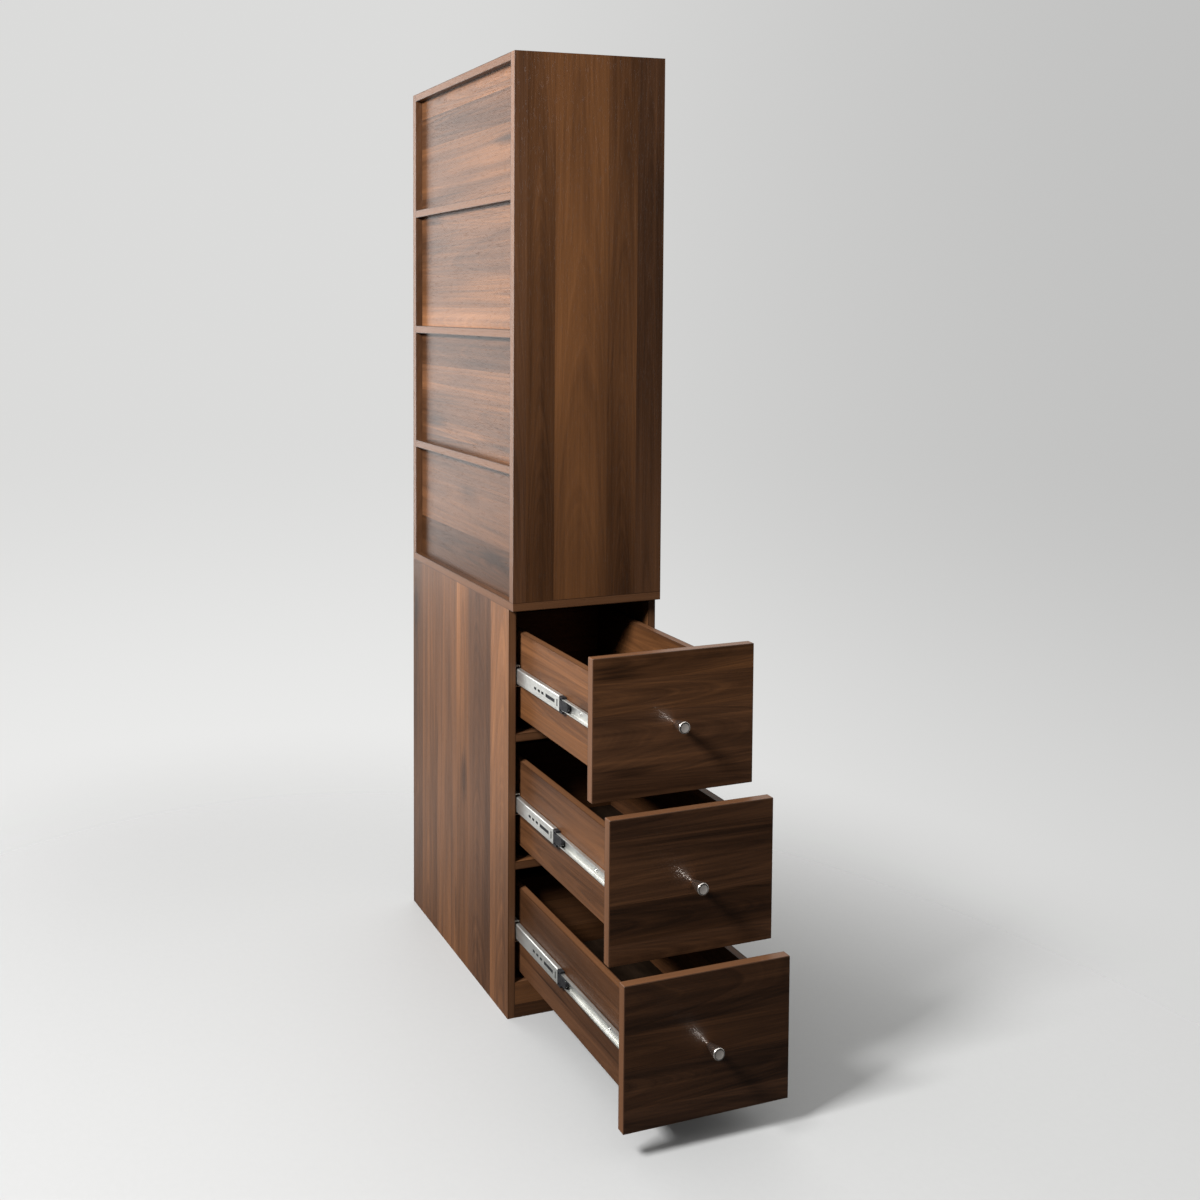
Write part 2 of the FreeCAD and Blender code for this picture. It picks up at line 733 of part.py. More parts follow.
doc.recompute()
faults = [item.Name for item in doc.Objects if {"Invalid", "Error"} & set(item.State)]
faults += [item.Label for item in nodes if item.Shape.isNull() or not item.Shape.isValid()]
if slotted.Shape.Volume >= middle_rail.Shape.Volume:
    faults.append("the middle rail's slots")
if faults:
    raise RuntimeError("faulty objects: " + ", ".join(faults))
os.makedirs("parts", exist_ok=True)
for item in nodes:
    item.Shape.exportStep(f"parts/{item.Label}.step")
    print(item.Label, len(item.Shape.Solids), round(item.Shape.Volume))
print(len(nodes), "nodes")
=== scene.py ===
# %% [markdown]
# A tall display shelf on a chest of three drawers, dressed for a picture.
# The solids of every board, rail and knob are already worked out elsewhere and come in as a fixed frame.
# This lesson gives them their finishes, swaps the small turned and pressed pieces for finer ones, and
# sets up the studio. Lengths are in metres, Z is up, and the drawers open towards -Y.

# %% Load the frame
import math

import bmesh
import bpy
import numpy as np
from mathutils import Matrix, Vector


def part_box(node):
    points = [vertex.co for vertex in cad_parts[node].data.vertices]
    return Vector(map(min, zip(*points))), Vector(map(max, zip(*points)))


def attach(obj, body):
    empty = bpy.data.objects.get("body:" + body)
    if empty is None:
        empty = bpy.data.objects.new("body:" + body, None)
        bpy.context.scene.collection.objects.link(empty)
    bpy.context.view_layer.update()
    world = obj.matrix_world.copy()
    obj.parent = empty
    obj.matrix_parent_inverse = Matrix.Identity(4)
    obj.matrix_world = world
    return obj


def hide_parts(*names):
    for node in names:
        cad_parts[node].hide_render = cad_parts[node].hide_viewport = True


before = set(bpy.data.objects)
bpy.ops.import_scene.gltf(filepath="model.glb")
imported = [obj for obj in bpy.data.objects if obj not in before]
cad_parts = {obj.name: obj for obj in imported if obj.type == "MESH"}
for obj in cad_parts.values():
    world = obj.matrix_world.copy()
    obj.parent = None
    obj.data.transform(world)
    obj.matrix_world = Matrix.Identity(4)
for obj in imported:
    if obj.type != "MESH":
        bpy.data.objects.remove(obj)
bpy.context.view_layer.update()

# %% [markdown]
# The camera stands in front of the unit and to its left, at three quarters of its height, and looks
# slightly down. Its place and turn were solved from the straight edges of the boards. A view camera would
# be shifted further, so that uprights stay upright, but the other views keep this shift, so part of it is
# traded for a small tilt. The turn is given as three axes: right, up and backwards, rolled about the view
# line. The picture's width is in pixels, and the sensor's is in millimetres.

# %% Camera
PICTURE = 1200
SENSOR = 36.0
CAMERA_PLACE = (-1.146, -1.918, 1.348)
CAMERA_ANGLES = {"yaw": 15.46, "pitch": 2.79, "roll": -0.42}
FOCAL_PIXELS = 1145
CENTRE_PIXEL = (264, 360)


def photo_camera(place, yaw, pitch, roll, focal, centre):
    """A camera from its place, its angles in degrees, and its focal length and centre point in pixels."""
    yaw, pitch, roll = (math.radians(angle) for angle in (yaw, pitch, roll))
    right = Vector((math.cos(yaw), -math.sin(yaw), 0))
    ahead = Vector((math.sin(yaw) * math.cos(pitch), math.cos(yaw) * math.cos(pitch), -math.sin(pitch)))
    up = right.cross(ahead)
    turned_right = right * math.cos(roll) + up * math.sin(roll)
    turned_up = up * math.cos(roll) - right * math.sin(roll)
    data = bpy.data.cameras.new("photo_camera")
    data.sensor_width = SENSOR
    data.lens = focal / PICTURE * SENSOR
    data.shift_x = 0.5 - centre[0] / PICTURE
    data.shift_y = centre[1] / PICTURE - 0.5
    camera = bpy.data.objects.new("photo_camera", data)
    bpy.context.scene.collection.objects.link(camera)
    axes = Matrix((turned_right, turned_up, -ahead)).transposed().to_4x4()
    camera.matrix_world = Matrix.Translation(place) @ axes
    bpy.context.scene.camera = camera
    return camera


camera = photo_camera(CAMERA_PLACE, **CAMERA_ANGLES, focal=FOCAL_PIXELS, centre=CENTRE_PIXEL)
shift = (round(camera.data.shift_x, 3), round(camera.data.shift_y, 3))
print("lens", round(camera.data.lens, 2), "shift", shift)

# %% [markdown]
# Finishes are built from shader nodes. These few helpers keep the node trees readable: one adds a node
# and fills its sockets, the others are the sums, mixes and noises that every finish below needs.
# A socket given as a value is set, and a socket given as another node's output is linked.

# %% Helpers for node trees
NOISE_SPAN = (0.3, 0.7)
FINE_DETAIL = 3.0


def fill(tree, socket, value):
    """Links an output to a socket, or sets the socket to a plain value."""
    if isinstance(value, bpy.types.NodeSocket):
        tree.links.new(value, socket)
    else:
        socket.default_value = value


def add(tree, kind, inputs=(), **settings):
    """A new node with its settings, and its inputs given by name or number."""
    made = tree.nodes.new("ShaderNode" + kind)
    for name, value in settings.items():
        setattr(made, name, value)
    for name, value in dict(inputs).items():
        fill(tree, made.inputs[name], value)
    return made


def sums(tree, operation, first, second=0.0, third=0.0):
    """One step of arithmetic between sockets or numbers."""
    return add(tree, "Math", {0: first, 1: second, 2: third}, operation=operation).outputs[0]


def mix(tree, factor, first, second):
    """A colour between two colours."""
    return add(tree, "Mix", {0: factor, 6: first, 7: second}, data_type="RGBA").outputs[2]


def between(tree, factor, first, second):
    """A number between two numbers."""
    return add(tree, "Mix", {0: factor, 2: first, 3: second}).outputs[0]


def smooth(tree, value, low, high):
    """A soft step: 0 below low, 1 above high."""
    inputs = {"Value": value, "From Min": low, "From Max": high}
    return add(tree, "MapRange", inputs, interpolation_type="SMOOTHSTEP").outputs[0]


def spot(tree, x=0.0, y=0.0, z=0.0):
    """A vector from three numbers."""
    return add(tree, "CombineXYZ", {0: x, 1: y, 2: z}).outputs[0]


def parts(tree, vector):
    """The three numbers of a vector."""
    return add(tree, "SeparateXYZ", {0: vector}).outputs


def stretched(tree, place, scale):
    """A place multiplied by a scale of its own along each axis."""
    return add(tree, "VectorMath", {0: place, 1: scale}, operation="MULTIPLY").outputs[0]


def cloud(tree, place, detail=2.0, roughness=0.5, distortion=0.0):
    """Soft noise about 0.5 at a place that is already scaled."""
    inputs = {"Vector": place, "Scale": 1.0, "Detail": detail}
    inputs.update(Roughness=roughness, Distortion=distortion)
    return add(tree, "TexNoise", inputs).outputs["Fac"]


def mottled(tree, noise, dark, light):
    """A colour between a dark and a light one, by a noise whose usual span is spread from 0 to 1."""
    return mix(tree, smooth(tree, noise, *NOISE_SPAN), (*dark, 1), (*light, 1))


def ramp(tree, factor, stops):
    """A colour from a row of (position, colour) stops."""
    made = add(tree, "ValToRGB", {0: factor})
    elements = made.color_ramp.elements
    while len(elements) < len(stops):
        elements.new(1.0)
    for element, (position, colour) in zip(elements, stops):
        element.position = position
        element.color = (*colour, 1.0)
    return made.outputs[0]


print("node helpers ready")

# %% [markdown]
# A group is a node tree that several finishes share, and a finish is a material around one shader.
# These helpers make an empty group with named sockets, place a group in a material, start a material,
# and turn a height into a shallow bump. A value that is the same all over goes straight on the shader,
# because an exported model would lose it if it came through other nodes.

# %% Helpers for groups and finishes


def new_group(name, inputs, outputs):
    """An empty node group with named sockets; returns the tree, its inputs and its output node."""
    tree = bpy.data.node_groups.new(name, "ShaderNodeTree")
    for socket, kind in inputs.items():
        tree.interface.new_socket(socket, in_out="INPUT", socket_type="NodeSocket" + kind)
    for socket, kind in outputs.items():
        tree.interface.new_socket(socket, in_out="OUTPUT", socket_type="NodeSocket" + kind)
    return tree, tree.nodes.new("NodeGroupInput").outputs, tree.nodes.new("NodeGroupOutput").inputs


def use(tree, group, inputs):
    """Places a node group in a material and returns its outputs."""
    made = add(tree, "Group", node_tree=group)
    for name, value in inputs.items():
        fill(tree, made.inputs[name], value)
    return made.outputs


def new_finish(name, **values):
    """A material with its shader, whose plain values are set straight on the shader."""
    material = bpy.data.materials.new(name)
    material.use_nodes = True
    shader = material.node_tree.nodes["Principled BSDF"]
    for socket, value in values.items():
        shader.inputs[socket.replace("_", " ")].default_value = value
    return material, material.node_tree, shader


def bumped(tree, shader, height, depth):
    """Feeds a height into the shader's normal as a shallow bump, depth in metres."""
    bump = add(tree, "Bump", {"Height": height, "Distance": depth, "Strength": 1.0})
    tree.links.new(bump.outputs[0], shader.inputs["Normal"])


print("group helpers ready")

# %% [markdown]
# A board has six faces, and the printed walnut runs differently on each kind. On the two broad faces the
# grain runs along the board. The thin edges carry a glued band whose grain runs along that edge.
# This group takes the place and the facing in the board's own axes (x along the grain, y across it,
# z through the thickness) and says how far along and across the grain a point is, and if it is an edge.
# A thin dark seam is painted on both sides of a band, partly the glue line and partly painted shade where the
# band meets the face, so the group also says how near a seam is.

# %% Group: faces of a board
BROAD_FACING, END_FACING = 0.9, 0.6
SEAM_START, SEAM_FULL = 0.0018, 0.0008


def make_board_faces():
    """Along and across by face: broad faces use x and y, long edges x and z, end edges y and z."""
    tree, given, result = new_group(
        "board_faces",
        {"Place": "Vector", "Facing": "Vector", "Middle": "Float", "Half": "Float"},
        {"Along": "Float", "Across": "Float", "Edge": "Float", "Seam": "Float"},
    )
    place, facing = parts(tree, given["Place"]), parts(tree, given["Facing"])
    broad = sums(tree, "GREATER_THAN", sums(tree, "ABSOLUTE", facing[2]), BROAD_FACING)
    end = sums(tree, "GREATER_THAN", sums(tree, "ABSOLUTE", facing[0]), END_FACING)
    edge = sums(tree, "SUBTRACT", 1.0, broad)
    fill(tree, result["Along"], between(tree, end, place[0], place[1]))
    fill(tree, result["Across"], between(tree, edge, place[1], place[2]))
    fill(tree, result["Edge"], edge)
    through = sums(tree, "ABSOLUTE", sums(tree, "SUBTRACT", place[2], given["Middle"]))
    rim = sums(tree, "SUBTRACT", given["Half"], through)
    near_rim = smooth(tree, rim, SEAM_START, SEAM_FULL)
    fill(tree, result["Seam"], sums(tree, "MULTIPLY", edge, near_rim))
    return tree


board_faces = make_board_faces()
print(board_faces.name, len(board_faces.nodes), "nodes")

# %% [markdown]
# The walnut print shows glued staves, each with its own tone, and inside a stave the marks of the tree:
# arches where a growth ring was cut flat, long streaks, fine fibres, short pores and a few dark knots.
# A stave is a step of the distance across, with the steps stretched unevenly. Its arches are level lines
# of along + across squared, bent by noise. Streaks are noise squeezed hard across the grain.
# Everything adds up to one tone, and a ramp turns the tone into colour. Some staves are greyer.
# The first values below are sizes and colours. PACE says how often a mark changes in a metre, along the
# grain and across it, NOISE gives the detail, roughness and distortion of its noise, and PUSH says how far
# it moves the tone either way. The last five are odd factors that take each board and stave to a fresh
# place in the noise.

# %% Group: walnut print
STAVE = 0.078
WALNUT = [
    (0.00, (0.0150, 0.0060, 0.0022)),
    (0.25, (0.0330, 0.0131, 0.0048)),
    (0.50, (0.0620, 0.0252, 0.0094)),
    (0.75, (0.1050, 0.0424, 0.0148)),
    (1.00, (0.1650, 0.0696, 0.0252)),
]
BAND = [(0.2, (0.055, 0.0238, 0.0104)), (0.8, (0.094, 0.0415, 0.0185))]
SEAM_SHADE = (0.016, 0.0066, 0.0028, 1)
GREYED = ((0.018, 0.0095, 0.0065, 1), (0.120, 0.0620, 0.0380, 1))
GREYED_SHARE, SEAM_SHARE = 0.25, 0.75
WAVE_PACE, WAVE_SIZE = 29.0, 0.016
PACE = {"clouding": (1.6, 9.0), "streaks": (1.1, 85.0), "fibres": (7.0, 520.0), "pores": (55.0, 1500.0)}
NOISE = {"clouding": [2.0], "streaks": [4.0, 0.72, 0.1], "fibres": [2.0], "pores": [1.0], "rings": [3.0, 0.6]}
PUSH = {"stave": 0.14, "rings": 0.20, "streaks": 0.27, "fibres": 0.08, "clouding": 0.36}
RING_SLOPES, RING_BOW, RING_BEND, RING_PACE = (0.25, 1.6), 1.5, 0.25, 20.0
PORE_SPAN, PORE_DEPTH = (0.60, 0.74), 0.08
KNOT_PACE, KNOT_RADIUS, KNOT_RAGGED, KNOT_DEPTH = (1.3, 5.0), 0.10, 0.05, 0.22
PRINT_ROUGHNESS, FIBRE_ROUGHNESS, PORE_ROUGHNESS = 0.36, 0.05, 0.10
BAND_FIBRES, FIBRE_HEIGHT = 0.25, 0.35
SEED_TO_WAVE, SEED_TO_STAVE, SEED_TO_KNOT = 5.0, 7.31, 0.37
STAVE_TO_LEVEL, CHANCE_TO_START = 3.7, 4.0


def make_walnut():
    """Tone = Tone + Contrast * (stave tone + arches + streaks + fibres + clouding - pores - knots)."""
    tree, given, result = new_group(
        "walnut_print",
        dict.fromkeys(("Along", "Across", "Edge", "Seam", "Seed", "Tone", "Contrast"), "Float"),
        {"Colour": "Color", "Roughness": "Float", "Height": "Float"},
    )
    along, across, seed = given["Along"], given["Across"], given["Seed"]

    def times(value, factor):
        """A product."""
        return sums(tree, "MULTIPLY", value, factor)

    def plus(first, second):
        """A sum."""
        return sums(tree, "ADD", first, second)

    def swing(value, size):
        """A noise about 0.5 turned into a push of up to +-size."""
        return times(sums(tree, "SUBTRACT", value, 0.5), size * 2)

    wave = sums(tree, "SINE", plus(times(across, WAVE_PACE), times(seed, SEED_TO_WAVE)))
    stretched_across = plus(across, times(wave, WAVE_SIZE))
    step = plus(times(stretched_across, 1 / STAVE), times(seed, SEED_TO_STAVE))
    stave = sums(tree, "FLOOR", step)
    inside = sums(tree, "SUBTRACT", sums(tree, "SUBTRACT", step, stave), 0.5)
    chance = add(tree, "TexWhiteNoise", {"Vector": spot(tree, stave, seed)}, noise_dimensions="2D").outputs
    chances = add(tree, "SeparateColor", {0: chance["Color"]}).outputs
    level = plus(times(stave, STAVE_TO_LEVEL), seed)
    shifted = plus(along, times(chances[0], CHANCE_TO_START))

    def mark(kind, run):
        """Noise at the pace of one kind of mark, new in each stave."""
        paced = [times(value, pace) for value, pace in zip((run, across), PACE[kind])]
        return cloud(tree, spot(tree, *paced, level), *NOISE[kind])

    clouding, streaks = (mark(kind, shifted) for kind in ("clouding", "streaks"))
    fibres, pores = (mark(kind, along) for kind in ("fibres", "pores"))
    pores = smooth(tree, pores, *PORE_SPAN)
    slope = between(tree, chances[1], *RING_SLOPES)
    bow = times(sums(tree, "POWER", sums(tree, "ABSOLUTE", inside), 2.0), RING_BOW)
    arch = plus(plus(times(shifted, slope), bow), swing(clouding, RING_BEND))
    rings = cloud(tree, spot(tree, times(arch, RING_PACE), level), *NOISE["rings"])
    knot_across = plus(times(across, KNOT_PACE[1]), times(seed, SEED_TO_KNOT))
    knot_cells = {"Vector": spot(tree, times(shifted, KNOT_PACE[0]), knot_across), "Scale": 1.0}
    knots = add(tree, "TexVoronoi", knot_cells, voronoi_dimensions="2D").outputs["Distance"]
    knots = smooth(tree, plus(knots, swing(streaks, KNOT_RAGGED)), KNOT_RADIUS, 0.0)

    marks = swing(chance["Value"], PUSH["stave"])
    for kind, value in (("rings", rings), ("streaks", streaks), ("fibres", fibres), ("clouding", clouding)):
        marks = plus(marks, swing(value, PUSH[kind]))
    marks = sums(tree, "SUBTRACT", marks, plus(times(pores, PORE_DEPTH), times(knots, KNOT_DEPTH)))
    tone = plus(given["Tone"], times(marks, given["Contrast"]))
    colour = mix(tree, times(chances[2], GREYED_SHARE), ramp(tree, tone, WALNUT), mix(tree, tone, *GREYED))
    band = ramp(tree, plus(streaks, swing(fibres, BAND_FIBRES)), BAND)
    colour = mix(tree, given["Edge"], colour, band)
    # The seam colour is partly the glue line and partly painted shade at the joint.
    fill(tree, result["Colour"], mix(tree, times(given["Seam"], SEAM_SHARE), colour, SEAM_SHADE))
    satin = plus(PRINT_ROUGHNESS, swing(fibres, FIBRE_ROUGHNESS))
    fill(tree, result["Roughness"], plus(satin, times(pores, PORE_ROUGHNESS)))
    fill(tree, result["Height"], sums(tree, "SUBTRACT", times(fibres, FIBRE_HEIGHT), pores))
    return tree


walnut_print = make_walnut()
print(walnut_print.name, len(walnut_print.nodes), "nodes")

# %% [markdown]
# Each board gets its own copy of the finish, because its grain has its own direction and its print its
# own place on the roll. The three letters name the axes along the grain, across it and through the board.
# The seed is chosen so that light and dark staves fall about where the real ones do. After it
# come, where a board differs from the usual, its tone, its contrast, its shine and the depth of its relief
# in metres. The fronts are the smoothest, which is why a knob mirrors in them as a soft streak.

# %% Walnut on every board
BOARDS = {
    "base_left_panel": ("zyx", 4.0, 0.46, 1.5),
    "base_right_panel": ("zyx", 2.0),
    "base_back_panel": ("zxy", 3.0),
    "base_bottom_board": ("yxz", 1.0),
    "plinth_board": ("xzy", 5.0),
    "upper_drawer_rail": ("xyz", 6.0),
    "lower_drawer_rail": ("xyz", 7.0),
    "deck_board": ("yxz", 8.0),
    "tower_front_panel": ("zxy", 12.0, 0.455, 1.0, 0.3),
    "tower_rear_panel": ("zxy", 10.0),
    "top_board": ("yxz", 9.0),
    "upper_shelf": ("yxz", 12.0),
    "middle_shelf": ("yxz", 13.0),
    "lower_shelf": ("yxz", 14.0),
    "upper_back_panel": ("yzx", 15.0, 0.51, 1.5),
    "upper_middle_back_panel": ("yzx", 16.0, 0.51, 1.5),
    "lower_middle_back_panel": ("yzx", 17.0, 0.50, 1.5),
    "lower_back_panel": ("yzx", 18.0, 0.38, 1.3),
}
# Each drawer, the tone of its front, and the seed, tone and contrast of its left side. The left sides of
# the lower two drawers are given a darker tone: painted shade, cast by the drawer above. The fronts also
# get darker towards the bottom.
DRAWERS = ((1, 0.42, 36.0, 0.68, 1.4), (2, 0.37, 32.0, 0.36, 1.6), (3, 0.14, 37.0, 0.34, 1.3))
# Looks that the drawers share: contrast, shine and relief in front, and tone, contrast and shine at right
FRONT_LOOK = (1.7, 0.28, 0.00004)
RIGHT_LOOK = (0.42, 1.0, 0.08)
LEFT_SHINE = 0.12
PRINT_IOR = 1.5
for number, front_tone, side_seed, shaded_side_tone, side_contrast in DRAWERS:
    BOARDS[f"drawer_{number}_front"] = ("xzy", 20.0 + number, front_tone, *FRONT_LOOK)
    BOARDS[f"drawer_{number}_left_side"] = ("yzx", side_seed, shaded_side_tone, side_contrast, LEFT_SHINE)
    BOARDS[f"drawer_{number}_right_side"] = ("yzx", 40.0 + number, *RIGHT_LOOK)
    BOARDS[f"drawer_{number}_back"] = ("xzy", 50.0 + number)


def walnut_board(node, axes, seed, tone=0.52, contrast=1.0, shine=0.2, relief=0.00012):
    """The walnut finish of one board, with its axes put in the order grain, across, thickness."""
    material, tree, shader = new_finish("walnut_" + node, IOR=PRINT_IOR, Specular_IOR_Level=shine)
    source = add(tree, "TexCoord").outputs
    order = ["xyz".index(letter) for letter in axes]
    split = [parts(tree, source[kind]) for kind in ("Object", "Normal")]
    place, facing = (spot(tree, *[numbers[axis] for axis in order]) for numbers in split)
    low, high = (corner[order[2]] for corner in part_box(node))
    thickness = {"Middle": (low + high) / 2, "Half": (high - low) / 2}
    faces = use(tree, board_faces, {"Place": place, "Facing": facing, **thickness})
    places = {name: faces[name] for name in ("Along", "Across", "Edge", "Seam")}
    printed = use(tree, walnut_print, {**places, "Seed": seed, "Tone": tone, "Contrast": contrast})
    fill(tree, shader.inputs["Base Color"], printed["Colour"])
    fill(tree, shader.inputs["Roughness"], printed["Roughness"])
    bumped(tree, shader, printed["Height"], relief)
    return material


def dress(node, material):
    """Gives a frame node one material all over."""
    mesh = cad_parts[node].data
    mesh.materials.clear()
    mesh.materials.append(material)


for node, choice in BOARDS.items():
    dress(node, walnut_board(node, *choice))
print("walnut boards", len(BOARDS))

# %% [markdown]
# The slides are rolled from zinc-plated strip. Plating is bright and slightly blotchy, and the rollers
# leave faint lines along the rail. One group gives both for every plated piece: streaks along Y for
# the rollers and a slow cloud for the plating. The stretch says how fast a streak changes along Y.

# %% Group: plated metal
LINE_PACE, BLOTCH_PACE = 1600.0, 55.0
PLATING_SHARE, LINE_SHARE = 0.6, 0.4
ROLLED_ROUGHNESS, LINE_ROUGHNESS, ROLLED_RELIEF = 0.32, 0.14, 0.00003
RAIL_STRETCH, CAGE_STRETCH, FITTING_STRETCH = 12.0, 200.0, 900.0
# Near black: a dark steel, darkened further as painted shade of the hollow inside the slides.
SHADED_CAGE_COLOURS = ((0.05, 0.05, 0.045), (0.10, 0.10, 0.09))
FITTING_COLOURS = ((0.42, 0.42, 0.41), (0.62, 0.62, 0.60))


def make_plated():
    """Shade = slow plating cloud + fine streaks along y; roughness follows the streaks."""
    tree, given, result = new_group(
        "plated_metal",
        {"Place": "Vector", "Stretch": "Float"},
        {"Shade": "Float", "Roughness": "Float", "Height": "Float"},
    )
    place = parts(tree, given["Place"])
    fine = [sums(tree, "MULTIPLY", place[axis], LINE_PACE) for axis in (0, 2)]
    slow = sums(tree, "MULTIPLY", place[1], given["Stretch"])
    lines = cloud(tree, spot(tree, fine[0], slow, fine[1]))
    plating = cloud(tree, stretched(tree, given["Place"], (BLOTCH_PACE,) * 3), FINE_DETAIL)
    shares = ((plating, PLATING_SHARE), (lines, LINE_SHARE))
    shade = sums(tree, "ADD", *[sums(tree, "MULTIPLY", noise, share) for noise, share in shares])
    fill(tree, result["Shade"], shade)
    fill(tree, result["Roughness"], sums(tree, "MULTIPLY_ADD", lines, LINE_ROUGHNESS, ROLLED_ROUGHNESS))
    fill(tree, result["Height"], lines)
    return tree


plated_metal = make_plated()


def plated(name, colours, stretch):
    """A plated or cast metal finish between a dark and a light colour."""
    material, tree, shader = new_finish(name, Metallic=1.0)
    place = add(tree, "TexCoord").outputs["Object"]
    shown = use(tree, plated_metal, {"Place": place, "Stretch": stretch})
    fill(tree, shader.inputs["Base Color"], mottled(tree, shown["Shade"], *colours))
    fill(tree, shader.inputs["Roughness"], shown["Roughness"])
    bumped(tree, shader, shown["Height"], ROLLED_RELIEF)
    return material


# Retainers and balls: dark steel darkened to near black, painted shade of the hollow seen through the slots.
shaded_cage_steel = plated("shaded_cage_steel", SHADED_CAGE_COLOURS, CAGE_STRETCH)
fitting_zinc = plated("fitting_zinc", FITTING_COLOURS, FITTING_STRETCH)
dress("cam_bolts", fitting_zinc)
print(plated_metal.name, len(plated_metal.nodes), "nodes")

# %% [markdown]
# The middle rail is pierced by a slit, a long slot and three short ones. Each slot and a narrow rim
# round it are painted dark and not metallic: painted shade of the hollow behind them. One group finds the
# slots and their rims, from the distance to the rail's front end and to its middle line. A slot is given
# by the place of its centre, half the length of its straight part and half its height.

# %% Group: slots of a rail
SLIT = (0.0071, 0.0006, 0.0055)
LONG_SLOT = (0.031, 0.0148, 0.0022)
SHORT_SLOTS = [(centre, 0.0030, 0.0014) for centre in (0.0575, 0.0705, 0.0835)]
RIM_START, RIM_FULL = 0.0016, 0.0008
ZINC = ((0.56, 0.56, 0.53), (0.68, 0.68, 0.65))
SLOT_SHADE = (0.010, 0.011, 0.010, 1)
RAIL_ROUGHNESS = 0.06


def make_rail_slots():
    """Dark = 1 within a slot or its rim, by the distance outside the slot's straight middle part."""
    tree, given, result = new_group(
        "rail_slots",
        {"Place": "Vector", "Front": "Float", "Level": "Float"},
        {"Dark": "Float"},
    )
    place = parts(tree, given["Place"])
    run = sums(tree, "SUBTRACT", place[1], given["Front"])
    rise = sums(tree, "ABSOLUTE", sums(tree, "SUBTRACT", place[2], given["Level"]))

    def off(value, centre, half):
        """How far a value lies outside the span of half on each side of the centre."""
        away = sums(tree, "ABSOLUTE", sums(tree, "SUBTRACT", value, centre))
        return sums(tree, "MAXIMUM", sums(tree, "SUBTRACT", away, half), 0.0)

    def slot(centre, half_run, half_rise):
        """1 inside a slot and its rim, with soft corners."""
        outside = spot(tree, off(run, centre, half_run), off(rise, 0.0, half_rise))
        distance = add(tree, "VectorMath", {0: outside}, operation="LENGTH").outputs["Value"]
        return smooth(tree, distance, RIM_START, RIM_FULL)

    dark = slot(*LONG_SLOT)
    for size in (*SHORT_SLOTS, SLIT):
        dark = sums(tree, "MAXIMUM", dark, slot(*size))
    fill(tree, result["Dark"], dark)
    return tree


rail_slots = make_rail_slots()


def rail_finish(node, slotted):
    """Zinc plate, and in a slotted rail the slots and their rims painted dark and not metallic, as painted
    shade.
    """
    material, tree, shader = new_finish("zinc_" + node, Metallic=1.0)
    place = add(tree, "TexCoord").outputs["Object"]
    shown = use(tree, plated_metal, {"Place": place, "Stretch": RAIL_STRETCH})
    colour = mottled(tree, shown["Shade"], *ZINC)
    if slotted:
        low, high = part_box(node)
        level = (low[2] + high[2]) / 2
        web = use(tree, rail_slots, {"Place": place, "Front": low[1], "Level": level})
        # Painted shade: the slots and their rims take the dark colour of the hollow behind them.
        colour = mix(tree, web["Dark"], colour, SLOT_SHADE)
        fill(tree, shader.inputs["Metallic"], sums(tree, "SUBTRACT", 1.0, web["Dark"]))
    fill(tree, shader.inputs["Base Color"], colour)
    fill(tree, shader.inputs["Roughness"], sums(tree, "ADD", shown["Roughness"], RAIL_ROUGHNESS))
    bumped(tree, shader, shown["Height"], ROLLED_RELIEF)
    return material


for number in (1, 2, 3):
    for rail in ("drawer", "middle", "outer"):
        node = f"drawer_{number}_{rail}_rails"
        dress(node, rail_finish(node, slotted=rail == "middle"))
print("rails dressed")

# %% [markdown]
# Three quieter finishes: the black moulded bumpers with a fine spark-eroded grain, the thin drawer
# bottoms of pressed board, whose dark brown is darkened to near black as painted shade inside the drawers,
# and the pale beech dowels that hold the base together.

# %% Plastic, pressed board and beech


def grained(name, colours, scales, shine, roughness, depth):
    """A finish from two noises: a coarse one for colour and a fine one for bump and gloss."""
    material, tree, shader = new_finish(name, Specular_IOR_Level=shine)
    place = add(tree, "TexCoord").outputs["Object"]
    coarse, fine = (cloud(tree, stretched(tree, place, scale), FINE_DETAIL) for scale in scales)
    least, spread = roughness
    fill(tree, shader.inputs["Base Color"], mottled(tree, coarse, *colours))
    fill(tree, shader.inputs["Roughness"], sums(tree, "MULTIPLY_ADD", fine, spread, least))
    bumped(tree, shader, fine, depth)
    return material


black_plastic = grained(
    "black_plastic",
    colours=[(0.008, 0.008, 0.009), (0.016, 0.016, 0.017)],
    scales=[(200, 200, 200), (1800, 1800, 1800)],
    shine=0.12,
    roughness=(0.34, 0.22),
    depth=0.00004,
)
# The drawer bottoms' near black is painted shade inside the drawers, darker than the board's own brown.
shaded_pressed_board = grained(
    "shaded_pressed_board",
    colours=[(0.006, 0.0035, 0.002), (0.011, 0.0062, 0.0036)],
    scales=[(60, 25, 60), (700, 240, 700)],
    shine=0.04,
    roughness=(0.45, 0.25),
    depth=0.00005,
)
beech = grained(
    "beech",
    colours=[(0.46, 0.30, 0.17), (0.60, 0.42, 0.26)],
    scales=[(40, 260, 260), (120, 900, 900)],
    shine=0.5,
    roughness=(0.50, 0.2),
    depth=0.00005,
)
for number in (1, 2, 3):
    dress(f"drawer_{number}_rail_bumpers", black_plastic)
    dress(f"drawer_{number}_bottom", shaded_pressed_board)
dress("base_dowels", beech)
print("quiet finishes dressed")

# %% [markdown]
# Turned pieces are a profile carried round an axis. The helper takes the profile as radius and height,
# and returns a whole grid of points at once, one row per profile point and one column per step of turn.
# The ends of the profile lie on the axis, and merging there closes the poles.

# %% Helpers for turned pieces


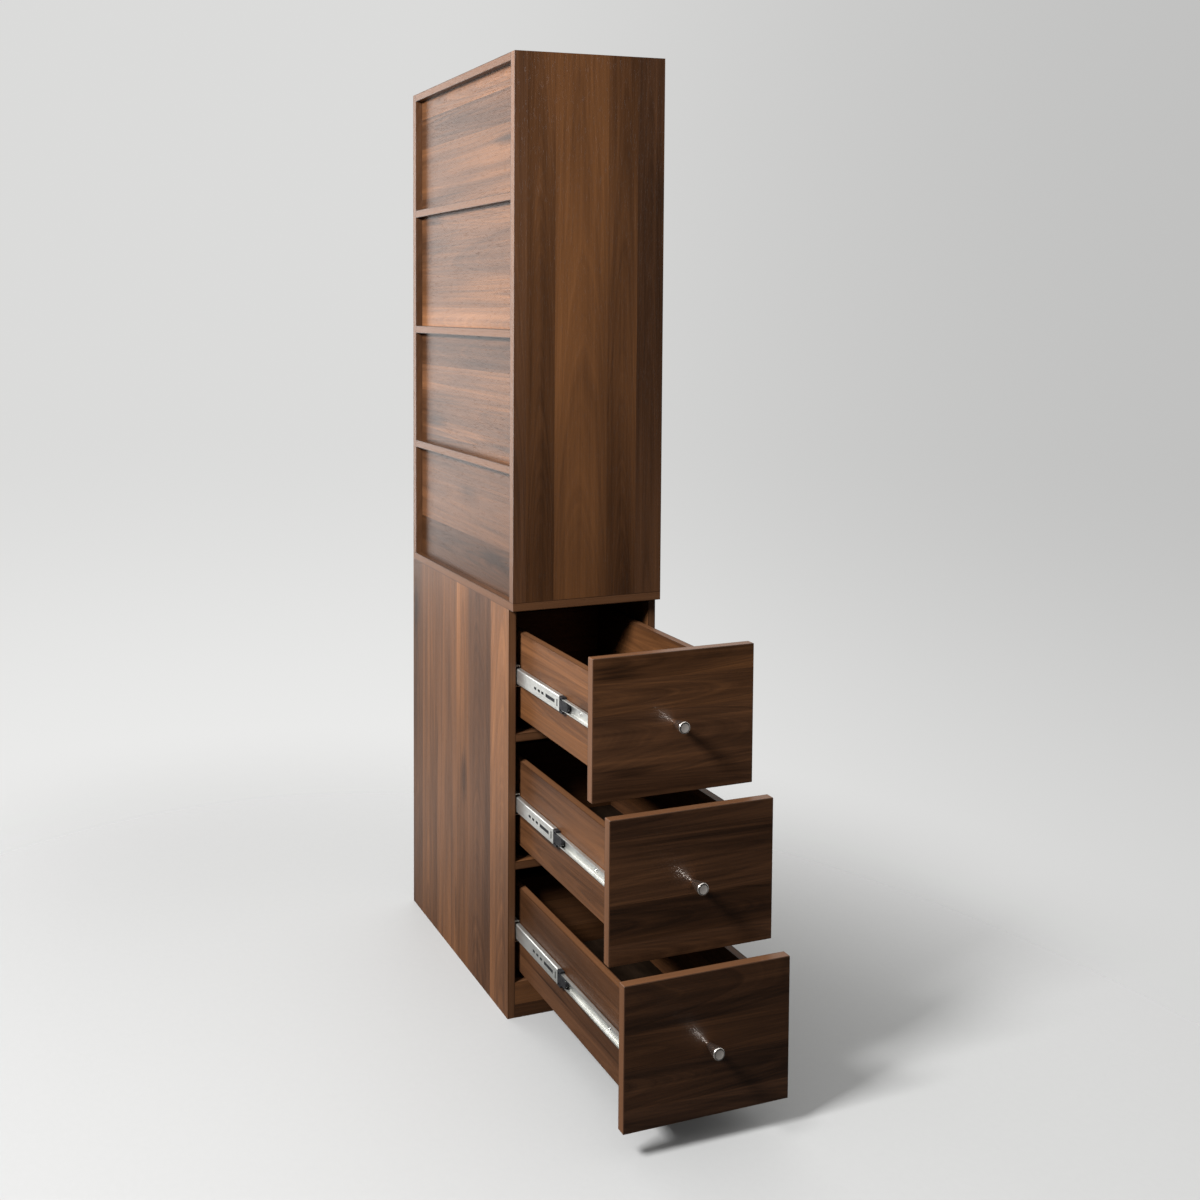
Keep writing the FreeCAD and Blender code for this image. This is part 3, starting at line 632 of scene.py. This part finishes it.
def turned(profile, centre, axis, steps, relief=None):
    """Grid of centre + height * axis + radius * (cos a, sin a) in the plane across the axis.

    relief, where given, is a function of the two distances in that plane and of the height, and its
    result is added to the height.
    """
    axis = np.array(axis, float)
    side = np.array((0.0, 0.0, 1.0)) if abs(axis[2]) < 0.5 else np.array((1.0, 0.0, 0.0))
    other = np.cross(axis, side)
    angle = np.linspace(0, 2 * np.pi, steps, endpoint=False)[None, :]
    radius, height = (np.asarray(profile, float)[:, k][:, None] for k in (0, 1))
    across, up = radius * np.cos(angle), radius * np.sin(angle)
    raised = height + (relief(across, up, height) if relief else 0 * angle)
    return np.array(centre) + raised[..., None] * axis + across[..., None] * side + up[..., None] * other


def wrapped_faces(rows, columns):
    """Four-sided faces of a grid whose columns close into a ring."""
    row, column = np.arange(rows - 1)[:, None], np.arange(columns)[None, :]
    following = (column + 1) % columns
    corners = (row * columns + column, row * columns + following)
    corners += ((row + 1) * columns + following, (row + 1) * columns + column)
    return np.stack(np.broadcast_arrays(*corners), -1).reshape(-1, 4)


print("turning helpers ready")

# %% [markdown]
# A grid becomes a mesh in a few whole-array steps. Every piece also keeps a map on its surface, with the
# share of a turn and the distance along the profile, so a finish can follow the shape. Merging doubles
# closes the poles, and only then are the faces turned outwards.

# %% Helper: a mesh from grids
SHARP = math.radians(40)
MERGE = 1e-6


def make_piece(name, grids, material):
    """One mesh from several ring grids, with closed poles, outward faces and a map of (turn, profile)."""
    points, faces, maps, start = [], [], [], 0
    for grid in grids:
        rows, columns = grid.shape[:2]
        points.append(grid.reshape(-1, 3))
        faces.append(wrapped_faces(rows, columns) + start)
        run = np.linalg.norm(np.diff(grid[:, 0], axis=0), axis=1)
        run = np.concatenate([[0], np.cumsum(run)])
        maps.append(np.stack(np.meshgrid(np.arange(columns) / columns, run), -1).reshape(-1, 2))
        start += rows * columns
    points, faces, maps = np.concatenate(points), np.concatenate(faces), np.concatenate(maps)
    mesh = bpy.data.meshes.new(name)
    mesh.from_pydata(points.tolist(), [], faces.tolist())
    layer = mesh.uv_layers.new(name="turn_and_run")
    layer.data.foreach_set("uv", maps[faces.reshape(-1)].reshape(-1))
    shell = bmesh.new()
    shell.from_mesh(mesh)
    bmesh.ops.remove_doubles(shell, verts=shell.verts, dist=MERGE)
    bmesh.ops.recalc_face_normals(shell, faces=shell.faces)
    shell.to_mesh(mesh)
    shell.free()
    mesh.polygons.foreach_set("use_smooth", np.ones(len(mesh.polygons), bool))
    mesh.set_sharp_from_angle(angle=SHARP)
    mesh.materials.append(material)
    made = bpy.data.objects.new(name, mesh)
    bpy.context.scene.collection.objects.link(made)
    return made


print("mesh helper ready")

# %% [markdown]
# Profiles are drawn as a few corners, and each corner is rounded by a short curve, as a tool or a bend
# would leave it. Where a piece goes is read from the box of the node that carries it.

# %% Helpers for profiles and places


def rounded(corners, radii, steps=5):
    """A profile with its corners rounded: each corner becomes a short curve between its two sides."""
    corners = [np.array(corner, float) for corner in corners]
    line = [corners[0][None]]
    blend = np.linspace(0, 1, steps)[:, None]
    for before, corner, after, radius in zip(corners, corners[1:], corners[2:], radii):
        start = corner + (before - corner) / np.linalg.norm(before - corner) * radius
        end = corner + (after - corner) / np.linalg.norm(after - corner) * radius
        line.append((1 - blend) ** 2 * start + 2 * blend * (1 - blend) * corner + blend**2 * end)
    return np.concatenate(line + [corners[-1][None]])


def middle(node):
    """The middle of a node's box."""
    low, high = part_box(node)
    return (np.array(low) + np.array(high)) / 2


print("profile helpers ready")

# %% [markdown]
# The knob is one turned piece of brushed steel: a narrow foot on the drawer front, a cone that widens
# outwards, a short straight rim, a round edge that catches the light, and a face that is dished a little.
# Its face is matt and its rim is bright, so the last lines find how far along the profile the face starts.

# %% Shape of the knobs
KNOB_LENGTH, KNOB_RADIUS, KNOB_FOOT = 0.028, 0.0105, 0.00375
KNOB_COLLAR, KNOB_FLARE = 0.0014, 0.0003
KNOB_RIM, KNOB_ROUND, KNOB_DISH = 0.0040, 0.0032, 0.0006
KNOB_ROUNDINGS = [0.0002, 0.0006, 0.0010, 0.0026, 0.0004]
KNOB_STEPS, KNOB_SIDES = 9, 64
FACE_INSET = 0.0030
knob_profile = rounded(
    [
        (0.0, 0.0),
        (KNOB_FOOT, 0.0),
        (KNOB_FOOT + KNOB_FLARE, KNOB_COLLAR),
        (KNOB_RADIUS, KNOB_LENGTH - KNOB_RIM),
        (KNOB_RADIUS, KNOB_LENGTH),
        (KNOB_RADIUS - KNOB_ROUND, KNOB_LENGTH),
        (0.0, KNOB_LENGTH - KNOB_DISH),
    ],
    KNOB_ROUNDINGS,
    KNOB_STEPS,
)
knob_run = np.cumsum(np.linalg.norm(np.diff(knob_profile, axis=0), axis=1))
inward = -knob_profile[-KNOB_STEPS:, 0]
face_start = float(np.interp(FACE_INSET - KNOB_RADIUS, inward, knob_run[-KNOB_STEPS:]))
print("knob face starts at", round(face_start, 5))

# %% [markdown]
# The knob's finish has the fine rings that a lathe tool leaves. They follow the shape, so they are read
# from the piece's own map: noise that changes fast along the profile and slowly round it.

# %% Knobs and their finish
KNOB_COLOURS = ((0.70, 0.65, 0.60), (0.86, 0.81, 0.76))
TURN_PACE, LATHE_PACE, LATHE_RELIEF = 5.0, 5200.0, 0.000003
RIM_ROUGHNESS, FACE_ROUGHNESS, LATHE_ROUGHNESS = 0.20, 0.60, 0.10
FACE_BLEND = 0.0004


def knob_finish():
    """Brushed steel with rings along the profile: noise that changes fast along it, slowly around it."""
    material, tree, shader = new_finish("knob_steel", Metallic=1.0)
    turn, run = parts(tree, add(tree, "UVMap", uv_map="turn_and_run").outputs[0])[:2]
    ring_place = [sums(tree, "MULTIPLY", *pair) for pair in ((turn, TURN_PACE), (run, LATHE_PACE))]
    rings = cloud(tree, spot(tree, *ring_place))
    fill(tree, shader.inputs["Base Color"], mottled(tree, rings, *KNOB_COLOURS))
    on_face = smooth(tree, run, face_start - FACE_BLEND, face_start + FACE_BLEND)
    least = between(tree, on_face, RIM_ROUGHNESS, FACE_ROUGHNESS)
    fill(tree, shader.inputs["Roughness"], sums(tree, "MULTIPLY_ADD", rings, LATHE_ROUGHNESS, least))
    bumped(tree, shader, rings, LATHE_RELIEF)
    return material


knob_steel = knob_finish()
for number in (1, 2, 3):
    seat = middle(f"drawer_{number}_front")
    seat[1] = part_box(f"drawer_{number}_front")[0][1]
    knob = make_piece(f"knob_{number}", [turned(knob_profile, seat, (0, -1, 0), KNOB_SIDES)], knob_steel)
    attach(knob, f"drawer_{number}")
    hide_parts(f"drawer_{number}_knob")
print("knob", len(knob.data.polygons), "faces")

# %% [markdown]
# Screws and cam locks share one trick: a turned head with a cross sunk into it. The cross is a relief on
# the turned grid, the higher of two soft bars, so no cutting of solids is needed. HEAD gives a screw
# head's outline and cross as shares of its radius and height.

# %% Helpers for heads with a cross
CROSS_EDGE, CROSS_ZONE = 0.0003, 0.0015
HEAD_DOME, HEAD_ROWS = 0.0003, 14
HEAD = {"seat": 0.97, "bulge": 0.25, "shoulder": (0.96, 0.62), "face": 0.86, "cross": (0.52, 0.15, 0.55)}
THREAD_ROOT, THREAD_DEPTH, THREAD_ROWS = 0.86, 0.14, 40
THREAD_PITCH, POINT_LENGTH, PLAIN_NECK = 0.0011, 0.003, 0.001
SCREW_SIDES = 32


def soft_bar(across, up, long, wide):
    """1 inside a bar of half-length long and half-width wide, falling smoothly to 0 at its edge."""
    spans = ((across, long), (up, wide))
    inside = [np.clip((half + CROSS_EDGE - np.abs(value)) / CROSS_EDGE, 0, 1) for value, half in spans]
    return inside[0] * inside[1]


def cross_relief(top, long, wide, depth):
    """A cross-shaped dip of the given depth in the face at the top height."""

    def relief(across, up, height):
        """The dip at each point of the grid, only near the top."""
        cross = np.maximum(soft_bar(across, up, long, wide), soft_bar(up, across, long, wide))
        return -depth * cross * (np.abs(height - top) < CROSS_ZONE)

    return relief


def head_rows(radius, top, dome, rows=HEAD_ROWS):
    """Profile rows of a slightly domed head from its rim in to the axis."""
    r = np.linspace(radius, 0, rows)
    return np.stack([r, top - dome * (r / radius) ** 2], 1)


def screw(centre, axis, head, head_height, shank, length):
    """A pan-head screw: pointed threaded shank below the seat, rounded head with a cross above it."""
    run = np.linspace(-length + POINT_LENGTH, -PLAIN_NECK, THREAD_ROWS)
    ridges = THREAD_ROOT + THREAD_DEPTH * np.cos(run / THREAD_PITCH * 2 * np.pi)
    wall = [(0.0, -length), *np.stack([shank * ridges, run], 1), (shank, 0.0), (head * HEAD["seat"], 0.0)]
    wall += [(head, head_height * HEAD["bulge"])]
    wall += [(head * HEAD["shoulder"][0], head_height * HEAD["shoulder"][1])]
    rows = np.concatenate([np.array(wall), head_rows(head * HEAD["face"], head_height, HEAD_DOME)])
    long, wide, deep = HEAD["cross"]
    cross = cross_relief(head_height, head * long, head * wide, head_height * deep)
    return turned(rows, centre, axis, SCREW_SIDES, cross)


print("head helpers ready")

# %% [markdown]
# One screw comes through each drawer front from inside and holds its knob. Two on each side hold the
# drawer's rails. They stand on the rail's web, and their places count from where the rail starts.

# %% Screws
KNOB_SCREW = {"head": 0.004, "head_height": 0.0026, "shank": 0.0019, "length": 0.026}
RAIL_SCREW = {"head": 0.0035, "head_height": 0.002, "shank": 0.00165, "length": 0.012}
RAIL_WEB, RAIL_START = 0.1287, 0.002
RAIL_SCREW_STARTS = (0.060, 0.284)
for number in (1, 2, 3):
    board = f"drawer_{number}_front"
    rear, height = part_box(board)[1][1], middle(board)[2]
    grids = [screw((0, rear, height), (0, 1, 0), **KNOB_SCREW)]
    for side in (-1, 1):
        for start in RAIL_SCREW_STARTS:
            foot = (side * RAIL_WEB, rear + RAIL_START + start, height)
            grids.append(screw(foot, (side, 0, 0), **RAIL_SCREW))
    screws = make_piece(f"screws_{number}", grids, fitting_zinc)
    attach(screws, f"drawer_{number}")
    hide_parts(f"drawer_{number}_screws")
print("screws", len(screws.data.polygons), "faces each")

# %% [markdown]
# The cam locks sit in bores under the shelves and the top board, near their ends, and draw them to the
# upright panels. Each is a plain drum with small chamfers and a cross in its face, which shows from below.

# %% Cam locks
CAM_RADIUS, CAM_FACE, CAM_LENGTH = 0.0075, 0.0070, 0.0125
CAM_CHAMFER, CAM_LIP = 0.0003, 0.0004
CAM_CROSS = {"long": 0.0044, "wide": 0.0011, "depth": 0.0016}
CAM_ROWS, CAM_SIDES = 18, 48
CAM_X, CAM_INSET = 0.093, 0.034
cam_cross = cross_relief(top=0.0, **CAM_CROSS)
cam_neck = CAM_RADIUS - CAM_CHAMFER
cam_wall = [
    (0.0, -CAM_LENGTH),
    (cam_neck, -CAM_LENGTH),
    (CAM_RADIUS, CAM_CHAMFER - CAM_LENGTH),
    (CAM_RADIUS, -CAM_LIP),
    (cam_neck, 0.0),
]
cam_rows = np.concatenate([np.array(cam_wall), head_rows(CAM_FACE, 0.0, 0.0, CAM_ROWS)[1:]])
cams = []
for shelf in ("lower_shelf", "middle_shelf", "upper_shelf", "top_board"):
    low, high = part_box(shelf)
    for x in (-CAM_X, CAM_X):
        for y in (low[1] + CAM_INSET, high[1] - CAM_INSET):
            cams.append(turned(cam_rows, (x, y, low[2]), (0, 0, -1), CAM_SIDES, cam_cross))
cam_locks = make_piece("turned_cam_locks", cams, fitting_zinc)
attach(cam_locks, "cabinet")
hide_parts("cam_locks")
print("cam locks", len(cam_locks.data.polygons), "faces")

# %% [markdown]
# Between each two rails run two rows of steel balls, kept apart by a retainer folded from thin strip.
# The retainer is a path with two rounded bends, thickened to both sides and carried along the rail.
# A ball is a half circle turned once round, with only a few dozen faces because there are hundreds.

# %% Ball retainers
RETAINERS = {
    "outer": {"back": 0.00150, "gauge": 0.00080, "line": 0.01665, "reach": 0.00665, "ball": 0.00370},
    "inner": {"back": 0.00410, "gauge": 0.00060, "line": 0.01190, "reach": 0.00850, "ball": 0.00220},
}
SLIDE_WALL = 0.140
BALL_PITCH, FIRST_BALL_SHARE, LAST_BALL_SHARE = 0.008, 0.75, 0.25
BALL_ROWS, BALL_SIDES = 7, 8
STRIP_BEND = 0.0012


def folded_strip(size):
    """Outline of a strip in (depth, height): a path with two bends, moved half a gauge to each side."""
    depth = size["back"] + size["gauge"] / 2
    corners = [(size["reach"], size["line"]), (depth, size["line"])]
    corners += [(depth, -size["line"]), (size["reach"], -size["line"])]
    path = rounded(corners, [STRIP_BEND, STRIP_BEND])
    tangent = np.gradient(path, axis=0)
    normal = np.stack([-tangent[:, 1], tangent[:, 0]], 1) / np.linalg.norm(tangent, axis=1)[:, None]
    return path + normal * size["gauge"] / 2, path - normal * size["gauge"] / 2


def retainer(size, side, low, high, height):
    """Grid of the strip: rows follow the outline, columns its four long edges, ends drawn to a point."""
    first, second = folded_strip(size)
    edges = [(first, low), (second, low), (second, high), (first, high)]
    grid = np.stack(
        [np.stack([side * (SLIDE_WALL - p[:, 0]), 0 * p[:, 0] + y, height + p[:, 1]], 1) for p, y in edges], 1
    )
    tips = np.repeat(grid[[0, -1]].mean(1, keepdims=True), 4, 1)
    return np.concatenate([tips[:1], grid, tips[1:]])


def ball_row(size, side, low, high, height):
    """A row of spheres at an even pitch."""
    angle = np.linspace(0, np.pi, BALL_ROWS)
    half = size["ball"] / 2 * np.stack([np.sin(angle), -np.cos(angle)], 1)
    x = side * (SLIDE_WALL - size["reach"])
    spots = np.arange(low + BALL_PITCH * FIRST_BALL_SHARE, high - BALL_PITCH * LAST_BALL_SHARE, BALL_PITCH)
    return [turned(half, (x, y, height), (0, 1, 0), BALL_SIDES) for y in spots]


for number in (1, 2, 3):
    for kind, size in RETAINERS.items():
        node = f"drawer_{number}_{kind}_ball_cages"
        low, high = (corner[1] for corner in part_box(node))
        height = middle(node)[2]
        grids = []
        for side in (-1, 1):
            grids.append(retainer(size, side, low, high, height))
            for row in (size["line"], -size["line"]):
                grids += ball_row(size, side, low, high, height + row)
        cages = make_piece(f"{kind}_ball_retainers_{number}", grids, shaded_cage_steel)
        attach(cages, f"{kind}_ball_cages_{number}")
        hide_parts(node)
print("retainers", len(cages.data.polygons), "faces each")

# %% [markdown]
# A thin sheet of the same black plastic lies flat behind each middle rail's web, over all its slots, so
# that the slots show black: a dark sheet that stands in for the shade in the hollow behind them, not a
# real part. A sheet is a rectangle carried along the rail.

# %% Sheets of painted shade behind the slots
SHADE_SHEET = {"near": 0.00385, "far": 0.00400, "half": 0.0075, "start": 0.003, "end": 0.095}


def tail(side, front, height):
    """Grid of the shade sheet: its four corners at both ends, and each end drawn to its middle point."""
    near, far = (side * (SLIDE_WALL - SHADE_SHEET[depth]) for depth in ("near", "far"))
    low, high = height - SHADE_SHEET["half"], height + SHADE_SHEET["half"]
    section = ((near, low), (far, low), (far, high), (near, high))
    grid = np.array([[(x, front + SHADE_SHEET[end], z) for x, z in section] for end in ("start", "end")])
    tips = np.repeat(grid.mean(1, keepdims=True), 4, 1)
    return np.concatenate([tips[:1], grid, tips[1:]])


for number in (1, 2, 3):
    rails = f"drawer_{number}_middle_rails"
    front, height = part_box(rails)[0][1], middle(rails)[2]
    both = [tail(side, front, height) for side in (-1, 1)]
    # A black sheet of painted shade behind the slots, riding with the middle rail.
    shade_sheets = make_piece(f"slot_shade_sheets_{number}", both, black_plastic)
    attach(shade_sheets, f"middle_rails_{number}")
print("shade_sheets", len(shade_sheets.data.polygons), "faces each")

# %% [markdown]
# The studio is plain: a pale floor that fades into a pale surround, and two soft lights on the left.
# What the camera sees of the surround is pale all round, a little brighter on the left, as a lit wall
# would be. As a light it is brighter on the right, and darker in front, as a studio is where the camera
# stands, so the fronts stay deep in tone. Mirrored in the boards, its front and lower part are darker
# still. The Light Path node tells these rays apart: a camera ray sees the wall, a glossy ray is a
# reflection, and all others carry light. The spans below are parts of a heading, a direction of length 1,
# over which one brightness passes into another.

# %% Surround
WALL = 0.64
RIGHT_AS_LIGHT, RIGHT_SEEN = 0.70, -0.19
FRONT_AS_LIGHT, FRONT_MIRRORED = 0.07, 0.01
BELOW_AS_LIGHT, BELOW_MIRRORED = 0.12, 0.0
CEILING = 1.2
BLUE_SHARE = 0.99
REAR_SPAN, RIGHT_SPAN = (-0.5, 0.45), (0.35, 0.9)
OVERHEAD_SPAN, BELOW_SPAN = (0.62, 0.85), (-0.10, -0.40)
world = bpy.data.worlds.new("pale_surround")
bpy.context.scene.world = world
world.use_nodes = True
sky = world.node_tree
heading = parts(sky, add(sky, "TexCoord").outputs["Generated"])
sky_paths = add(sky, "LightPath").outputs
seen, reflected = sky_paths["Is Camera Ray"], sky_paths["Is Glossy Ray"]
rear = sums(sky, "MAXIMUM", smooth(sky, heading[1], *REAR_SPAN), seen)
right_side = smooth(sky, heading[0], *RIGHT_SPAN)
overhead = smooth(sky, heading[2], *OVERHEAD_SPAN)
below = smooth(sky, heading[2], *BELOW_SPAN)
glow = sums(sky, "MULTIPLY_ADD", right_side, between(sky, seen, RIGHT_AS_LIGHT, RIGHT_SEEN), WALL)
glow = sums(sky, "MULTIPLY_ADD", glow, rear, between(sky, reflected, FRONT_AS_LIGHT, FRONT_MIRRORED))
glow = sums(sky, "MULTIPLY_ADD", overhead, CEILING, glow)
glow = sums(sky, "MULTIPLY_ADD", below, between(sky, reflected, BELOW_AS_LIGHT, BELOW_MIRRORED), glow)
pale_light = spot(sky, glow, glow, sums(sky, "MULTIPLY", glow, BLUE_SHARE))
fill(sky, sky.nodes["Background"].inputs["Color"], pale_light)
bpy.context.scene.view_settings.view_transform = "Standard"
print("surround ready")

# %% [markdown]
# The floor is one large square. Its grey rises from left to right, against the fall of the light, so that
# the picture's floor is even. To the light that bounces up from it, and in reflections, it is darker, which
# keeps the undersides and fronts deep. Only its rear, which the satin sides mirror, is left bright.
# About a metre from a point in front of the left side it starts to turn clear, so that no horizon shows
# and the far end of the unit's shadow fades. Reflections pass through it on the far right.

# %% Floor
FLOOR_HALF, FLOOR_ROUGHNESS = 9.0, 0.55
FLOOR_LEFT, FLOOR_RIGHT = (0.187, 0.187, 0.186), (0.325, 0.325, 0.323)
FLOOR_BOUNCE = (0.11, 0.11, 0.11, 1)
MIRRORED_FRONT, MIRRORED_REAR = (0.01, 0.01, 0.01, 1), (0.34, 0.34, 0.34, 1)
SPECK_PACE, SPECK_LIGHT, SPECK_DARK = 90.0, 1.02, 0.98
FADE_CENTRE, FADE_SPAN = (-0.5, -0.5, 0), (1.0, 2.1)
GREY_SPAN, BEHIND_SPAN, PASSING_SPAN = (-1.9, 1.1), (0.1, 1.2), (0.4, 1.0)
floor_mesh = bpy.data.meshes.new("studio_floor")
corner = np.array([(-1, -1, 0), (1, -1, 0), (1, 1, 0), (-1, 1, 0)]) * FLOOR_HALF
floor_mesh.from_pydata(corner.tolist(), [], [(0, 1, 2, 3)])
floor = bpy.data.objects.new("studio_floor", floor_mesh)
bpy.context.scene.collection.objects.link(floor)
pale, tree, shader = new_finish("pale_floor", Roughness=FLOOR_ROUGHNESS)
ground = add(tree, "TexCoord").outputs["Object"]
ground_x, ground_y = parts(tree, ground)[:2]
paths = add(tree, "LightPath").outputs
speck = cloud(tree, stretched(tree, ground, (SPECK_PACE,) * 3), FINE_DETAIL)
rightwards = smooth(tree, ground_x, *GREY_SPAN)


def floor_grey(share):
    """The grey from left to right, made a little lighter or darker."""
    ends = [(*[value * share for value in tone], 1) for tone in (FLOOR_LEFT, FLOOR_RIGHT)]
    return mix(tree, rightwards, *ends)


seen_grey = mix(tree, speck, floor_grey(SPECK_DARK), floor_grey(SPECK_LIGHT))
mirrored = mix(tree, smooth(tree, ground_y, *BEHIND_SPAN), MIRRORED_FRONT, MIRRORED_REAR)
unseen = mix(tree, paths["Is Glossy Ray"], FLOOR_BOUNCE, mirrored)
shade = mix(tree, paths["Is Camera Ray"], unseen, seen_grey)
fill(tree, shader.inputs["Base Color"], shade)
reach = add(tree, "VectorMath", {0: ground, 1: FADE_CENTRE}, operation="DISTANCE").outputs["Value"]
clear = add(tree, "BsdfTransparent").outputs[0]
passed = sums(tree, "MULTIPLY", paths["Is Glossy Ray"], smooth(tree, ground_x, *PASSING_SPAN))
fading = sums(tree, "MAXIMUM", smooth(tree, reach, *FADE_SPAN), passed)
fade = add(tree, "MixShader", {0: fading, 1: shader.outputs[0], 2: clear})
fill(tree, tree.nodes["Material Output"].inputs["Surface"], fade.outputs[0])
floor_mesh.materials.append(pale)
print("floor ready")

# %% [markdown]
# The key light stands high on the left and a little in front. It is small, so the knobs cast clear
# shadows. The sheen light is a tall panel behind on the left, and its reflection gives the left sides
# their satin look. The camera sees neither.

# %% Lights
KEY = {"place": (-2.15, -0.74, 2.32), "target": (0, 0, 1.1), "size": (0.6, 0.6), "power": 250}
SHEEN = {"place": (-1.62, 3.37, 1.42), "target": (-0.14, 0.2, 1.2), "size": (1.7, 2.8), "power": 58}


def softbox(name, place, target, size, power):
    """A soft light of a width and height at a place, facing a target, that the camera doesn't see."""
    data = bpy.data.lights.new(name, "AREA")
    data.shape = "RECTANGLE"
    data.size, data.size_y = size
    data.energy = power
    lamp = bpy.data.objects.new(name, data)
    bpy.context.scene.collection.objects.link(lamp)
    lamp.location = place
    lamp.rotation_mode = "QUATERNION"
    lamp.rotation_quaternion = (Vector(target) - Vector(place)).to_track_quat("-Z", "Y")
    lamp.visible_camera = False
    return lamp


key = softbox("key_light", **KEY)
sheen = softbox("sheen_light", **SHEEN)
print("lights", key.data.energy, sheen.data.energy)
